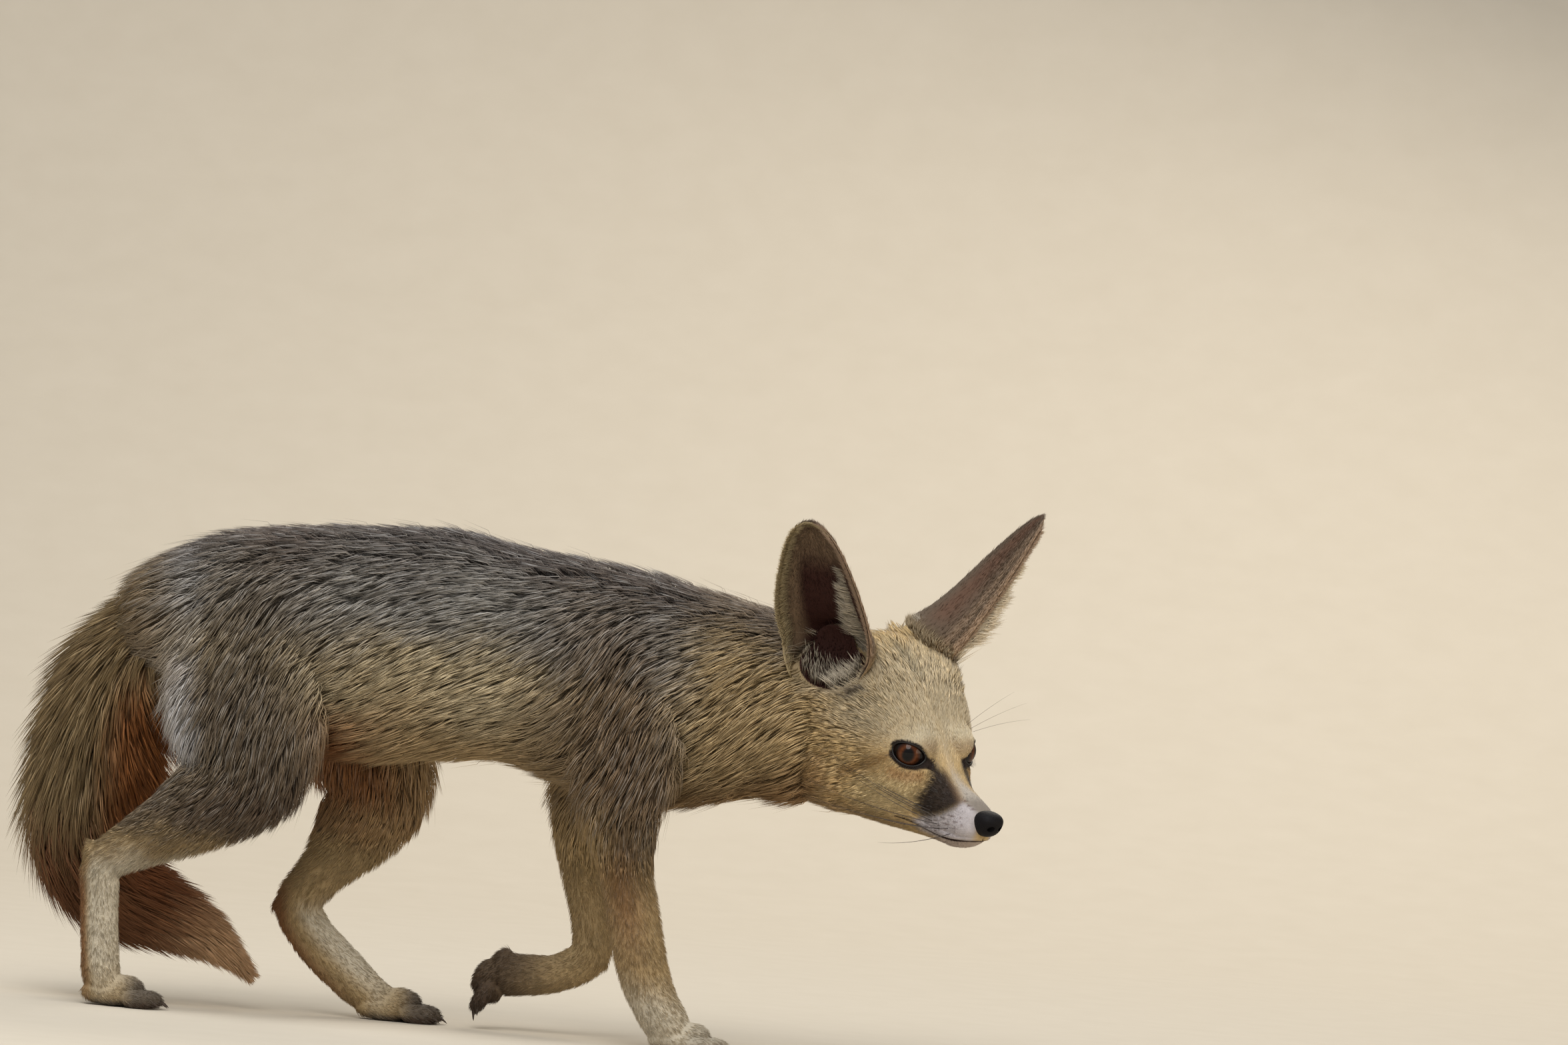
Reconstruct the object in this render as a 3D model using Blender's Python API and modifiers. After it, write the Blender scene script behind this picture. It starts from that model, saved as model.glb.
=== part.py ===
"""A life-size sand fox that walks low with its head turned to its right.

The fox faces +X, its right side faces -Y, and three of its paws stand on the floor at Z = 0. All sizes
are in centimetres until a mesh is made. The body is modelled whole from lofts and ellipsoids, fused and
smoothed, and then parted with thin cuts. The tail's long coat is built as tapered locks on a core.
"""

import math
import random

import bmesh
import bpy
from mathutils import Matrix, Vector
from mathutils.bvhtree import BVHTree

CM = 0.01
GAP = 0.035
SEED = 11
RING_POINTS = 28
VOXEL = 0.13
HEAD_TRIANGLES = 2300
HEAD_SHARE = 0.27
BODY_TRIANGLES = 3500
HEAD_SMOOTHING = 8
BODY_SMOOTHING = 5

# The trunk, from the rump to the nape: x, y, top, underside, half width.
TRUNK = (
    (-14.8, 0.0, 20.9, 18.9, 1.2),
    (-13.9, 0.0, 22.0, 17.6, 2.6),
    (-12.0, 0.0, 23.3, 15.9, 3.9),
    (-9.5, 0.0, 24.3, 14.3, 4.5),
    (-6.0, 0.0, 24.8, 13.2, 4.4),
    (-2.0, 0.0, 25.1, 12.9, 4.2),
    (1.5, 0.0, 25.2, 13.3, 4.1),
    (5.0, 0.0, 24.6, 13.3, 4.4),
    (8.0, 0.0, 24.3, 12.4, 4.6),
    (11.0, 0.0, 23.9, 11.8, 4.4),
    (14.0, 0.0, 23.3, 12.0, 4.0),
    (17.0, -0.2, 22.7, 12.6, 4.0),
    (19.5, -0.6, 22.1, 12.7, 3.9),
    (21.5, -1.0, 21.3, 13.2, 3.4),
)

# The legs, from the top down: x, y, z, radius fore and aft, radius sideways.
HINDLEG_RIGHT = (
    (-8.4, -2.5, 20.0, 4.2, 1.8),
    (-8.4, -3.3, 15.6, 4.3, 2.1),
    (-8.2, -3.6, 12.4, 3.3, 2.0),
    (-10.6, -3.7, 9.9, 2.3, 1.6),
    (-13.3, -3.7, 8.2, 1.5, 1.2),
    (-15.0, -3.7, 7.0, 1.15, 1.0),
    (-15.0, -3.7, 5.2, 1.0, 0.8),
    (-14.8, -3.7, 3.0, 0.98, 0.8),
    (-14.5, -3.7, 1.3, 1.0, 0.95),
)
HINDLEG_LEFT = (
    (-6.3, 2.5, 20.0, 4.0, 1.8),
    (-3.6, 3.2, 15.6, 3.9, 2.1),
    (-1.8, 3.4, 12.4, 3.0, 2.0),
    (-2.5, 3.5, 9.6, 2.4, 1.6),
    (-4.2, 3.5, 7.2, 1.5, 1.2),
    (-5.3, 3.5, 5.5, 1.3, 1.0),
    (-4.5, 3.5, 4.0, 1.25, 0.85),
    (-2.9, 3.5, 2.5, 1.25, 0.85),
    (-1.4, 3.5, 1.3, 1.1, 0.95),
)
FORELEG_RIGHT = (
    (9.6, -2.5, 19.5, 2.8, 1.5),
    (10.6, -3.2, 15.5, 3.1, 1.6),
    (10.5, -3.4, 12.2, 2.3, 1.6),
    (10.95, -3.3, 9.3, 1.5, 1.3),
    (11.6, -3.2, 6.5, 1.5, 1.15),
    (12.2, -3.1, 4.2, 1.42, 1.1),
    (12.9, -3.1, 2.6, 1.3, 1.05),
    (13.8, -3.1, 1.3, 1.2, 1.1),
)
FORELEG_LEFT = (
    (9.5, 2.5, 19.0, 2.8, 1.5),
    (9.4, 3.1, 15.0, 2.6, 1.6),
    (8.7, 3.1, 11.5, 1.75, 1.4),
    (8.9, 3.0, 8.5, 1.35, 1.2),
    (9.5, 3.0, 5.8, 1.2, 1.05),
    (9.5, 3.0, 4.1, 1.15, 1.0),
    (8.0, 3.0, 3.15, 1.05, 0.95),
    (6.3, 3.0, 2.85, 1.12, 1.0),
    (5.2, 3.0, 2.75, 1.1, 1.0),
)

# The paws: the middle of the pad, the way that the toes point as yaw and dip in degrees, and the length.
PAWS = {
    "hindpaw_right": ((-13.9, -3.75, 0.62), -4.0, 0.0, 1.0),
    "hindpaw_left": ((-0.3, 3.55, 0.62), 4.0, 0.0, 1.08),
    "forepaw_right": ((14.4, -3.15, 0.62), -6.0, 0.0, 1.0),
    "forepaw_left": ((4.85, 3.0, 2.85), 180.0, 60.0, 0.9),
}
TOE_PLACES = ((1.25, -0.86), (1.62, -0.3), (1.62, 0.3), (1.25, 0.86))
TOE_RADII = (0.85, 0.36, 0.5)
# The palm of the lifted paw, which hangs under its toes, in the paw's own frame, and its radii.
PALM_PLACE = (0.8, 0.0, -0.5)
PALM_RADII = (0.85, 0.9, 0.7)
CLAW_LENGTH = 0.75
CLAW_RADIUS = 0.11

# The head's own frame: forward from the eyes to the nose, up to the crown, side to its left or right.
EYES_MIDDLE = Vector((25.84, -4.9, 16.1))
HEAD_YAW = math.radians(-48.9)
HEAD_PITCH = math.radians(14.8)
HEAD_ROLL = math.radians(3.7)

# The head from the nape to the lip: forward, top, underside, half width, squareness of the section.
HEAD = (
    (-9.2, 2.6, -4.0, 2.6, 2.2),
    (-8.3, 3.3, -4.5, 3.3, 2.3),
    (-7.0, 4.0, -4.7, 3.8, 2.5),
    (-5.5, 4.4, -4.7, 4.05, 2.8),
    (-4.0, 4.25, -4.6, 4.15, 3.0),
    (-2.6, 3.55, -4.45, 3.95, 3.0),
    (-1.2, 2.5, -4.3, 3.4, 3.0),
    (0.2, 1.2, -4.15, 2.5, 2.9),
    (1.2, 0.05, -4.05, 1.8, 2.6),
    (2.2, -0.65, -3.98, 1.42, 2.4),
    (3.2, -0.95, -3.9, 1.2, 2.4),
    (4.0, -1.15, -3.6, 1.05, 2.3),
    (4.55, -1.35, -3.15, 0.85, 2.2),
    (4.8, -1.6, -2.9, 0.5, 2.0),
)
# Soft masses on both sides of the head: forward, side, up, and their three radii.
HEAD_MASSES = (
    (-3.4, 2.25, -1.9, 2.6, 1.9, 2.1),
    (-1.6, 1.36, 0.25, 2.85, 1.42, 1.5),
    (3.7, 0.6, -2.45, 1.15, 0.6, 0.75),
    (-4.6, 2.3, 1.6, 3.2, 1.9, 2.6),
    (-6.2, 3.0, 1.9, 2.3, 1.7, 2.1),
)
NOSE_CENTRE = (4.86, 0.0, -2.0)
NOSE_RADII = (0.8, 0.66, 0.66)
NOSE_SQUARENESS = 0.86
NOSE_TAPER = 0.2
NOSE_LEAN = 0.2
NOSE_GROOVE = ((5.72, -1.95), (5.6, -2.3), (5.3, -2.65), (4.9, -2.8))
NOSE_GROOVE_RADIUS = 0.045
NOSTRIL = (5.5, 0.3, -2.02)
NOSTRIL_RADII = (0.3, 0.14, 0.17)
EYE_CENTRE = (-0.1, 1.54, 0.08)
EYE_RADIUS = 0.9
EYE_TURN = math.radians(46.0)
EYE_SLANT = math.radians(8.0)
LID_WIDTH = math.radians(64.0)
LID_HEIGHT = math.radians(35.0)
LID_THICKNESS = 0.15
# The line of the mouth from the middle of the lip to its corner: forward, side, up.
MOUTH = (
    (4.8, 0.0, -3.05),
    (4.4, 0.7, -3.15),
    (3.5, 1.05, -3.38),
    (2.6, 1.25, -3.5),
    (1.8, 1.45, -3.4),
    (1.05, 1.65, -3.18),
    (0.3, 1.95, -3.1),
)
MOUTH_DEPTH = 0.09
LIP_RADIUS = 0.2
LIP_RISE = 0.22
LIP_SUNK = 0.1

# The ears: the middle of the root, the way to the tip, how far out from the nose's way the right and the
# left cup open, in degrees, and the shell.
EAR_ROOT = (-5.21, 3.74, 3.2)
EAR_TIP_WAY = (1.15, 3.8, 7.6)
EAR_OPENINGS = {-1: 68.5, 1: 58.5}
EAR_LENGTH = 8.6
EAR_THICKNESS = 0.24
# Up the ear: share of the length, half width, and half the angle that the shell wraps round, in degrees.
EAR_PROFILE = (
    (-0.14, 1.85, 118.0),
    (0.0, 2.35, 98.0),
    (0.15, 2.68, 72.0),
    (0.35, 2.65, 56.0),
    (0.6, 2.2, 50.0),
    (0.8, 1.65, 45.0),
    (0.93, 1.05, 40.0),
    (0.985, 0.52, 34.0),
    (1.0, 0.12, 30.0),
)
EAR_ROWS = 14
EAR_COLUMNS = 10

# The tail from the rump to the tip: x, y, z, radius of the core, radius of the coat.
TAIL = (
    (-11.6, 0.2, 20.5, 1.7, 2.0),
    (-13.6, 0.5, 19.0, 1.7, 2.5),
    (-15.2, 1.2, 16.6, 1.8, 3.5),
    (-16.0, 1.7, 13.6, 1.9, 4.0),
    (-16.2, 2.0, 10.3, 1.9, 4.1),
    (-15.9, 2.1, 7.6, 1.7, 4.0),
    (-14.1, 2.1, 5.4, 1.4, 3.2),
    (-11.8, 2.1, 4.5, 1.05, 2.3),
    (-9.8, 2.1, 3.6, 0.6, 1.7),
    (-8.3, 2.1, 2.6, 0.3, 0.9),
    (-7.4, 2.1, 1.95, 0.1, 0.2),
)
TAIL_FLATTENED = 0.86
CORE_CIRCLE = [(math.cos(math.pi * k / 6), math.sin(math.pi * k / 6)) for k in range(12)]

# The locks of the tail's coat, in rings along it. A lock's stages are the share of its length, of its width.
LOCK_RING_STEP = 2.2
LOCK_SHORTEST_STEP = 1.5
LOCK_FIRST_RING = 1.2
LOCK_LAST_RING = 1.2
LOCK_CROWDING = 1.15
LOCK_STAGES = ((0.0, 0.8), (0.42, 1.0), (0.78, 0.62), (1.0, 0.0))
LOCK_LENGTH = 1.15
LOCK_WIDTH = 0.56
LOCK_THICKNESS = 0.36
LOCK_SPREAD = 1.04
LOCK_ROOT = 0.55
LOCK_WIDEST_COAT = 4.0


def vector(values):
    return Vector(values[:3])


def clear_scene():
    """Empties the scene of objects and sets it to metres."""
    for old in list(bpy.data.objects):
        bpy.data.objects.remove(old, do_unlink=True)
    bpy.context.scene.unit_settings.system = "METRIC"
    bpy.context.scene.unit_settings.scale_length = 1.0


def collection(name):
    made = bpy.data.collections.new(name)
    bpy.context.scene.collection.children.link(made)
    return made


def material(name, colour, roughness):
    made = bpy.data.materials.new(name)
    made.use_nodes = True
    shader = made.node_tree.nodes["Principled BSDF"]
    shader.inputs["Base Color"].default_value = (*colour, 1.0)
    shader.inputs["Roughness"].default_value = roughness
    shader.inputs["Metallic"].default_value = 0.0
    return made


def new_object(name, bm, where):
    """A mesh object in metres from a bmesh in centimetres."""
    bmesh.ops.scale(bm, vec=(CM, CM, CM), verts=bm.verts)
    bmesh.ops.recalc_face_normals(bm, faces=bm.faces)
    mesh = bpy.data.meshes.new(name)
    bm.to_mesh(mesh)
    bm.free()
    made = bpy.data.objects.new(name, mesh)
    where.objects.link(made)
    return made


def refined(rows, steps):
    """Rows between the given ones, on a Catmull-Rom curve through them."""
    out = []
    for i in range(len(rows) - 1):
        a, b = rows[max(i - 1, 0)], rows[i]
        c, d = rows[i + 1], rows[min(i + 2, len(rows) - 1)]
        for k in range(steps):
            t = k / steps
            row = []
            for p, q, r, s in zip(a, b, c, d):
                bend = (2 * p - 5 * q + 4 * r - s) * t**2 + (3 * q - p - 3 * r + s) * t**3
                row.append(0.5 * (2 * q + (r - p) * t + bend))
            out.append(tuple(row))
    out.append(tuple(rows[-1]))
    return out


def rounded_power(value, power):
    return math.copysign(abs(value) ** power, value)


def skin_rings(name, rings, where):
    """A closed loft through rings of points, with a point at the middle of each end ring."""
    bm = bmesh.new()
    loops = [[bm.verts.new(p) for p in ring] for ring in rings]
    for low, high in zip(loops, loops[1:]):
        for k in range(len(low)):
            after = (k + 1) % len(low)
            bm.faces.new((low[k], low[after], high[after], high[k]))
    for loop in (loops[0], loops[-1]):
        middle = bm.verts.new(sum((v.co for v in loop), Vector()) / len(loop))
        for k in range(len(loop)):
            bm.faces.new((loop[k], loop[(k + 1) % len(loop)], middle))
    return new_object(name, bm, where)


def section(centre, side, up, half_width, above, below, squareness):
    """One ring of a loft, a superellipse that can reach further up than down."""
    ring = []
    for k in range(RING_POINTS):
        angle = 2 * math.pi * k / RING_POINTS
        across = half_width * rounded_power(math.cos(angle), 2 / squareness)
        reach = above if math.sin(angle) > 0 else below
        ring.append(centre + side * across + up * reach * rounded_power(math.sin(angle), 2 / squareness))
    return ring


def trunk(where):
    rings = []
    for x, y, top, under, half_width in refined(TRUNK, 4):
        middle = (top + under) / 2
        half = (top - under) / 2
        centre = Vector((x, y, middle))
        rings.append(section(centre, Vector((0, 1, 0)), Vector((0, 0, 1)), half_width, half, half, 2.2))
    return skin_rings("trunk", rings, where)


def limb(name, rows, where):
    """A tube round a bent path, with its own radius fore and aft and sideways."""
    rows = refined(rows, 4)
    rings = []
    for i, (x, y, z, deep, wide) in enumerate(rows):
        along = (vector(rows[min(i + 1, len(rows) - 1)]) - vector(rows[max(i - 1, 0)])).normalized()
        side = (Vector((0, 1, 0)) - along * along.y).normalized()
        rings.append(section(Vector((x, y, z)), side, along.cross(side), wide, deep, deep, 2.0))
    return skin_rings(name, rings, where)


def head_turn():
    return (
        Matrix.Rotation(HEAD_YAW, 3, "Z")
        @ Matrix.Rotation(HEAD_PITCH, 3, "Y")
        @ Matrix.Rotation(HEAD_ROLL, 3, "X")
    )


def head_way(forward, side, up):
    """A direction in the head's frame, where side is to the fox's left."""
    return head_turn() @ Vector((forward, side, up))


def head_point(forward, side, up):
    return EYES_MIDDLE + head_way(forward, side, up)


def skull(where):
    side, high = head_way(0, 1, 0), head_way(0, 0, 1)
    rings = []
    for forward, top, under, half_width, squareness in refined(HEAD, 4):
        centre = head_point(forward, 0, (top + under) / 2)
        half = (top - under) / 2
        rings.append(section(centre, side, high, half_width, half, half, squareness))
    return skin_rings("skull", rings, where)


def ellipsoid(name, centre, radii, turn, where, segments=16):
    """An ellipsoid with its radii along the columns of a 3 x 3 turn."""
    bm = bmesh.new()
    bmesh.ops.create_uvsphere(bm, u_segments=segments, v_segments=segments // 2, radius=1.0)
    place = Matrix.Translation(centre) @ turn.to_4x4() @ Matrix.Diagonal((*radii, 1.0))
    bmesh.ops.transform(bm, matrix=place, verts=bm.verts)
    return new_object(name, bm, where)


def head_masses(where):
    made = []
    for forward, side, up, *radii in HEAD_MASSES:
        for hand in (-1, 1):
            made.append(ellipsoid("mass", head_point(forward, hand * side, up), radii, head_turn(), where))
    return made


def paw_frame(name):
    """The middle of a paw's pad, its turn and its size."""
    middle, yaw, dip, size = PAWS[name]
    turn = Matrix.Rotation(math.radians(yaw), 3, "Z") @ Matrix.Rotation(math.radians(dip), 3, "Y")
    return Vector(middle), turn, size


def paw(name, where):
    """A furred pad with four toes in front of it."""
    middle, turn, size = paw_frame(name)
    made = [ellipsoid("pad", middle, (1.35 * size, 1.08 * size, 0.78 * size), turn, where)]
    for forward, side in TOE_PLACES:
        centre = middle + turn @ Vector((forward * size, side * size, -0.16 * size))
        made.append(ellipsoid("toe", centre, [r * size for r in TOE_RADII], turn, where))
    if name == "forepaw_left":
        made.append(ellipsoid("palm", middle + turn @ Vector(PALM_PLACE), PALM_RADII, turn, where))
    return made


def hocks(where):
    """The heel bones that stand out behind the hind legs."""
    level = Matrix.Identity(3)
    return [
        ellipsoid("hock", Vector((-15.55, -3.7, 7.5)), (0.55, 0.5, 0.85), level, where),
        ellipsoid("hock", Vector((-5.95, 3.5, 5.3)), (0.8, 0.5, 0.6), level, where),
        ellipsoid("wrist", Vector((9.9, 3.0, 3.9)), (0.75, 0.85, 0.7), level, where),
    ]


def flesh_forms(where):
    """Every form of the body, still apart: trunk, limbs, head and paws."""
    forms = [trunk(where), skull(where), *head_masses(where), *hocks(where)]
    for name, rows in (
        ("hindleg_right", HINDLEG_RIGHT),
        ("hindleg_left", HINDLEG_LEFT),
        ("foreleg_right", FORELEG_RIGHT),
        ("foreleg_left", FORELEG_LEFT),
    ):
        forms.append(limb(name, rows, where))
    for name in PAWS:
        forms.extend(paw(name, where))
    return forms


def apply_modifiers(obj):
    """The object's mesh becomes the evaluated one, and its modifiers go."""
    graph = bpy.context.evaluated_depsgraph_get()
    made = bpy.data.meshes.new_from_object(obj.evaluated_get(graph))
    obj.modifiers.clear()
    obj.data = made


def joined(name, forms, where):
    """One object that holds the faces of all the forms, which are removed."""
    bm = bmesh.new()
    for form in forms:
        bm.from_mesh(form.data)
        bpy.data.objects.remove(form, do_unlink=True)
    mesh = bpy.data.meshes.new(name)
    bm.to_mesh(mesh)
    bm.free()
    made = bpy.data.objects.new(name, mesh)
    where.objects.link(made)
    return made


def fused(name, forms, smoothing, triangles, where):
    """The forms as one closed smooth surface of about that many triangles."""
    whole = joined(name, forms, where)
    remesh = whole.modifiers.new("fuse", "REMESH")
    remesh.mode = "VOXEL"
    remesh.voxel_size = VOXEL * CM
    smooth = whole.modifiers.new("soften", "SMOOTH")
    smooth.factor = 0.5
    smooth.iterations = smoothing
    apply_modifiers(whole)
    bm = bmesh.new()
    bm.from_mesh(whole.data)
    bmesh.ops.triangulate(bm, faces=bm.faces)
    bm.to_mesh(whole.data)
    count = len(bm.faces)
    bm.free()
    thin = whole.modifiers.new("thin", "DECIMATE")
    thin.ratio = min(1.0, triangles / count)
    apply_modifiers(whole)
    return whole


def keep_largest(obj):
    """Drops every closed surface of the object but the one with the most faces."""
    bm = bmesh.new()
    bm.from_mesh(obj.data)
    bm.faces.ensure_lookup_table()
    seen, groups = set(), []
    for start in bm.faces:
        if start.index in seen:
            continue
        seen.add(start.index)
        group, front = [], [start]
        while front:
            face = front.pop()
            group.append(face)
            for edge in face.edges:
                for other in edge.link_faces:
                    if other.index not in seen:
                        seen.add(other.index)
                        front.append(other)
        groups.append(group)
    groups.sort(key=len)
    for group in groups[:-1]:
        bmesh.ops.delete(bm, geom=group, context="FACES")
    bmesh.ops.delete(bm, geom=[v for v in bm.verts if not v.link_faces], context="VERTS")
    bm.to_mesh(obj.data)
    bm.free()


def combine(obj, other, operation, solver="EXACT"):
    """A Boolean of the object with another object or a collection, applied."""
    boolean = obj.modifiers.new(operation.lower(), "BOOLEAN")
    boolean.operation = operation
    boolean.solver = solver
    if isinstance(other, bpy.types.Collection):
        boolean.operand_type = "COLLECTION"
        boolean.collection = other
    else:
        boolean.object = other
    apply_modifiers(obj)


def copy_of(obj, name, where):
    made = bpy.data.objects.new(name, obj.data.copy())
    where.objects.link(made)
    return made


def grown(obj, name, where, by=GAP):
    """A copy of the object with each vertex moved out along its normal."""
    made = copy_of(obj, name, where)
    bm = bmesh.new()
    bm.from_mesh(made.data)
    bm.normal_update()
    moves = [(v, v.normal.copy()) for v in bm.verts]
    for vert, normal in moves:
        vert.co += normal * by * CM
    bm.to_mesh(made.data)
    bm.free()
    return made


def block(name, centre, sizes, turn, where):
    bm = bmesh.new()
    bmesh.ops.create_cube(bm, size=1.0)
    place = Matrix.Translation(centre) @ turn.to_4x4() @ Matrix.Diagonal((*sizes, 1.0))
    bmesh.ops.transform(bm, matrix=place, verts=bm.verts)
    return new_object(name, bm, where)


def remove(*objects):
    for obj in objects:
        bpy.data.objects.remove(obj, do_unlink=True)


def parting_blocks():
    """Where the body is cut: for each node the middle, sizes and turn of a block that holds it."""

    def lean(about_x, about_y=0.0):
        sideways = Matrix.Rotation(math.radians(about_x), 3, "X")
        return sideways @ Matrix.Rotation(math.radians(about_y), 3, "Y")

    head_back = head_point(-7.6, 0, -0.2)
    return {
        "head": (head_back + head_way(8.0, 0, 0), (16.0, 16.0, 16.0), head_turn()),
        "neck": (Vector((19.4, 0.0, 17.5)), (12.0, 14.0, 16.0), lean(0, 8)),
        "hindpaw_right": (Vector((-14.0, -3.7, 0.55)), (8.0, 3.6, 3.4), lean(0, 0)),
        "hindpaw_left": (Vector((0.0, 3.5, 0.6)), (9.0, 3.6, 3.6), lean(0, -30)),
        "forepaw_right": (Vector((14.5, -3.1, 0.55)), (9.0, 3.6, 3.6), lean(0, -14)),
        "forepaw_left": (Vector((3.0, 3.0, 2.0)), (6.0, 3.6, 5.0), lean(0, -8)),
        "hindleg_right": (Vector((-10.0, -7.35, 10.5)), (13.2, 8.0, 25.0), lean(16, 0)),
        "hindleg_left": (Vector((-4.4, 7.35, 10.5)), (13.2, 8.0, 25.0), lean(-16, 0)),
        "foreleg_right": (Vector((10.9, -6.9, 9.4)), (6.6, 8.0, 22.0), lean(16, 0)),
        "foreleg_left": (Vector((9.2, 6.9, 9.4)), (6.6, 8.0, 22.0), lean(-16, 0)),
    }


def parted(name, whole, where, helpers):
    """The part of the whole inside the node's block, which the whole loses along with a thin gap."""
    centre, sizes, turn = parting_blocks()[name]
    inside = block("inside", centre, sizes, turn, helpers)
    outside = block("outside", centre, [s + 2 * GAP for s in sizes], turn, helpers)
    piece = copy_of(whole, name, where)
    combine(piece, inside, "INTERSECT")
    keep_largest(piece)
    combine(whole, outside, "DIFFERENCE")
    keep_largest(whole)
    remove(inside, outside)
    return piece


def stand_flat(obj, helpers):
    """Cuts the object off level with the floor."""
    below = block("below", Vector((0, 0, -5)), (80, 80, 10), Matrix.Identity(3), helpers)
    combine(obj, below, "DIFFERENCE")
    remove(below)


def body_nodes(where, helpers):
    """The head at a fine mesh, and the rest of the flesh at a coarser one."""
    fine = fused("fine", flesh_forms(helpers), HEAD_SMOOTHING, HEAD_TRIANGLES / HEAD_SHARE, helpers)
    coarse = fused("coarse", flesh_forms(helpers), BODY_SMOOTHING, BODY_TRIANGLES, helpers)
    stand_flat(coarse, helpers)
    nodes = {"head": parted("head", fine, where, helpers)}
    remove(fine)
    rest = [name for name in parting_blocks() if name != "head"]
    remove(parted("head", coarse, helpers, helpers))
    for name in rest:
        nodes[name] = parted(name, coarse, where, helpers)
    coarse.name = "torso"
    helpers.objects.unlink(coarse)
    where.objects.link(coarse)
    nodes["torso"] = coarse
    return nodes


def claw(middle, turn, size, place, where):
    """One curved claw as a short cone that points forward and down from a toe."""
    forward, side = place
    bm = bmesh.new()
    bmesh.ops.create_cone(
        bm, cap_ends=True, segments=6, radius1=CLAW_RADIUS, radius2=0.02, depth=CLAW_LENGTH
    )
    root = Vector(((forward + 0.95) * size, side * size, -0.3 * size))
    lowered = turn @ Matrix.Rotation(math.radians(98), 3, "Y")
    place = Matrix.Translation(middle + turn @ root) @ lowered.to_4x4()
    bmesh.ops.transform(bm, matrix=place, verts=bm.verts)
    return new_object("claw", bm, where)


def add_claws(nodes, helpers):
    for name in PAWS:
        middle, turn, size = paw_frame(name)
        bits = collection("claws")
        for place in TOE_PLACES:
            claw(middle, turn, size, place, bits)
        combine(nodes[name], bits, "UNION")
        remove(*bits.objects)
        bpy.data.collections.remove(bits)
        keep_largest(nodes[name])


def tube(name, points, radius, where, sides=6):
    """A closed tube of that radius along a line of points."""
    rings = []
    for i, point in enumerate(points):
        along = (points[min(i + 1, len(points) - 1)] - points[max(i - 1, 0)]).normalized()
        side = along.orthogonal().normalized() if i == 0 else (side - along * side.dot(along)).normalized()
        up = along.cross(side)
        ring = []
        for k in range(sides):
            angle = 2 * math.pi * k / sides
            ring.append(point + side * radius * math.cos(angle) + up * radius * math.sin(angle))
        rings.append(ring)
    return skin_rings(name, rings, where)


def eye_frame(hand):
    """The middle of an eye and its ways outward, to the inner corner and up."""
    forward, side, up = EYE_CENTRE
    centre = head_point(forward, hand * side, up)
    out = head_way(math.cos(EYE_TURN), hand * math.sin(EYE_TURN), 0.06).normalized()
    inner = head_way(math.sin(EYE_TURN), -hand * math.cos(EYE_TURN), -math.tan(EYE_SLANT)).normalized()
    inner = (inner - out * inner.dot(out)).normalized()
    high = out.cross(inner) * hand
    return centre, out, inner, high


def lid_line(hand, reach, count=18):
    """Points round the almond opening of the lids, on a sphere about the eye."""
    centre, out, inner, high = eye_frame(hand)
    points = []
    for k in range(count):
        angle = 2 * math.pi * k / count
        across = LID_WIDTH * math.cos(angle)
        lift = LID_HEIGHT * rounded_power(math.sin(angle), 1.25)
        way = out * math.cos(across) * math.cos(lift) + inner * math.sin(across) + high * math.sin(lift)
        points.append(centre + way.normalized() * reach)
    return points


def on_surface(obj, point, lift):
    """The nearest point of the object's surface, lifted along its normal, in centimetres."""
    corners = [v.co / CM for v in obj.data.vertices]
    tree = BVHTree.FromPolygons(corners, [p.vertices for p in obj.data.polygons])
    place, normal, _, _ = tree.find_nearest(point)
    return place + normal * lift


def mouth_line(head, hand, rise, lift):
    """Points along one side of the mouth, raised up the face and lifted off it."""
    points = [on_surface(head, head_point(f, hand * s, u + rise), lift) for f, s, u in MOUTH]
    return [Vector(p) for p in refined(points, 3)]


def aperture(hand, where):
    """A solid that widens outward through the almond opening between the lids."""
    rings = [lid_line(hand, EYE_RADIUS * reach) for reach in (0.5, 1.0, 1.4, 1.8)]
    return skin_rings("aperture", rings, where)


def finish_head(head, helpers):
    """Adds the lids and lips to the head, and cuts the mouth's line, the sockets and the nose's seat."""
    bits = collection("lids")
    for hand in (-1, 1):
        ellipsoid("lids", eye_frame(hand)[0], [EYE_RADIUS + LID_THICKNESS] * 3, head_turn(), bits, 20)
        tube("lip", mouth_line(head, hand, LIP_RISE, -LIP_SUNK), LIP_RADIUS, bits)
    combine(head, bits, "UNION")
    remove(*bits.objects)
    cuts = collection("cuts")
    for hand in (-1, 1):
        centre = eye_frame(hand)[0]
        ellipsoid("socket", centre, [EYE_RADIUS + GAP] * 3, head_turn(), cuts, 20)
        aperture(hand, cuts)
        tube("mouth", mouth_line(head, hand, 0.0, 0.0), MOUTH_DEPTH, cuts)
    nose_pad("seat", GAP, cuts)
    combine(head, cuts, "DIFFERENCE")
    remove(*cuts.objects)
    bpy.data.collections.remove(bits)
    bpy.data.collections.remove(cuts)
    keep_largest(head)


def eye(name, hand, where):
    return ellipsoid(name, eye_frame(hand)[0], [EYE_RADIUS] * 3, head_turn(), where, 18)


def nose_pad(name, by, where):
    """The rounded wedge of the nose pad, grown by that much."""
    bm = bmesh.new()
    bmesh.ops.create_uvsphere(bm, u_segments=16, v_segments=10, radius=1.0)
    for vert in bm.verts:
        forward, side, up = (rounded_power(c, NOSE_SQUARENESS) for c in vert.co)
        side *= 1.0 + NOSE_TAPER * up
        forward += NOSE_LEAN * up
        reach = [r + by for r in NOSE_RADII]
        vert.co = head_point(*[c + r * v for c, r, v in zip(NOSE_CENTRE, reach, (forward, side, up))])
    return new_object(name, bm, where)


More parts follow.
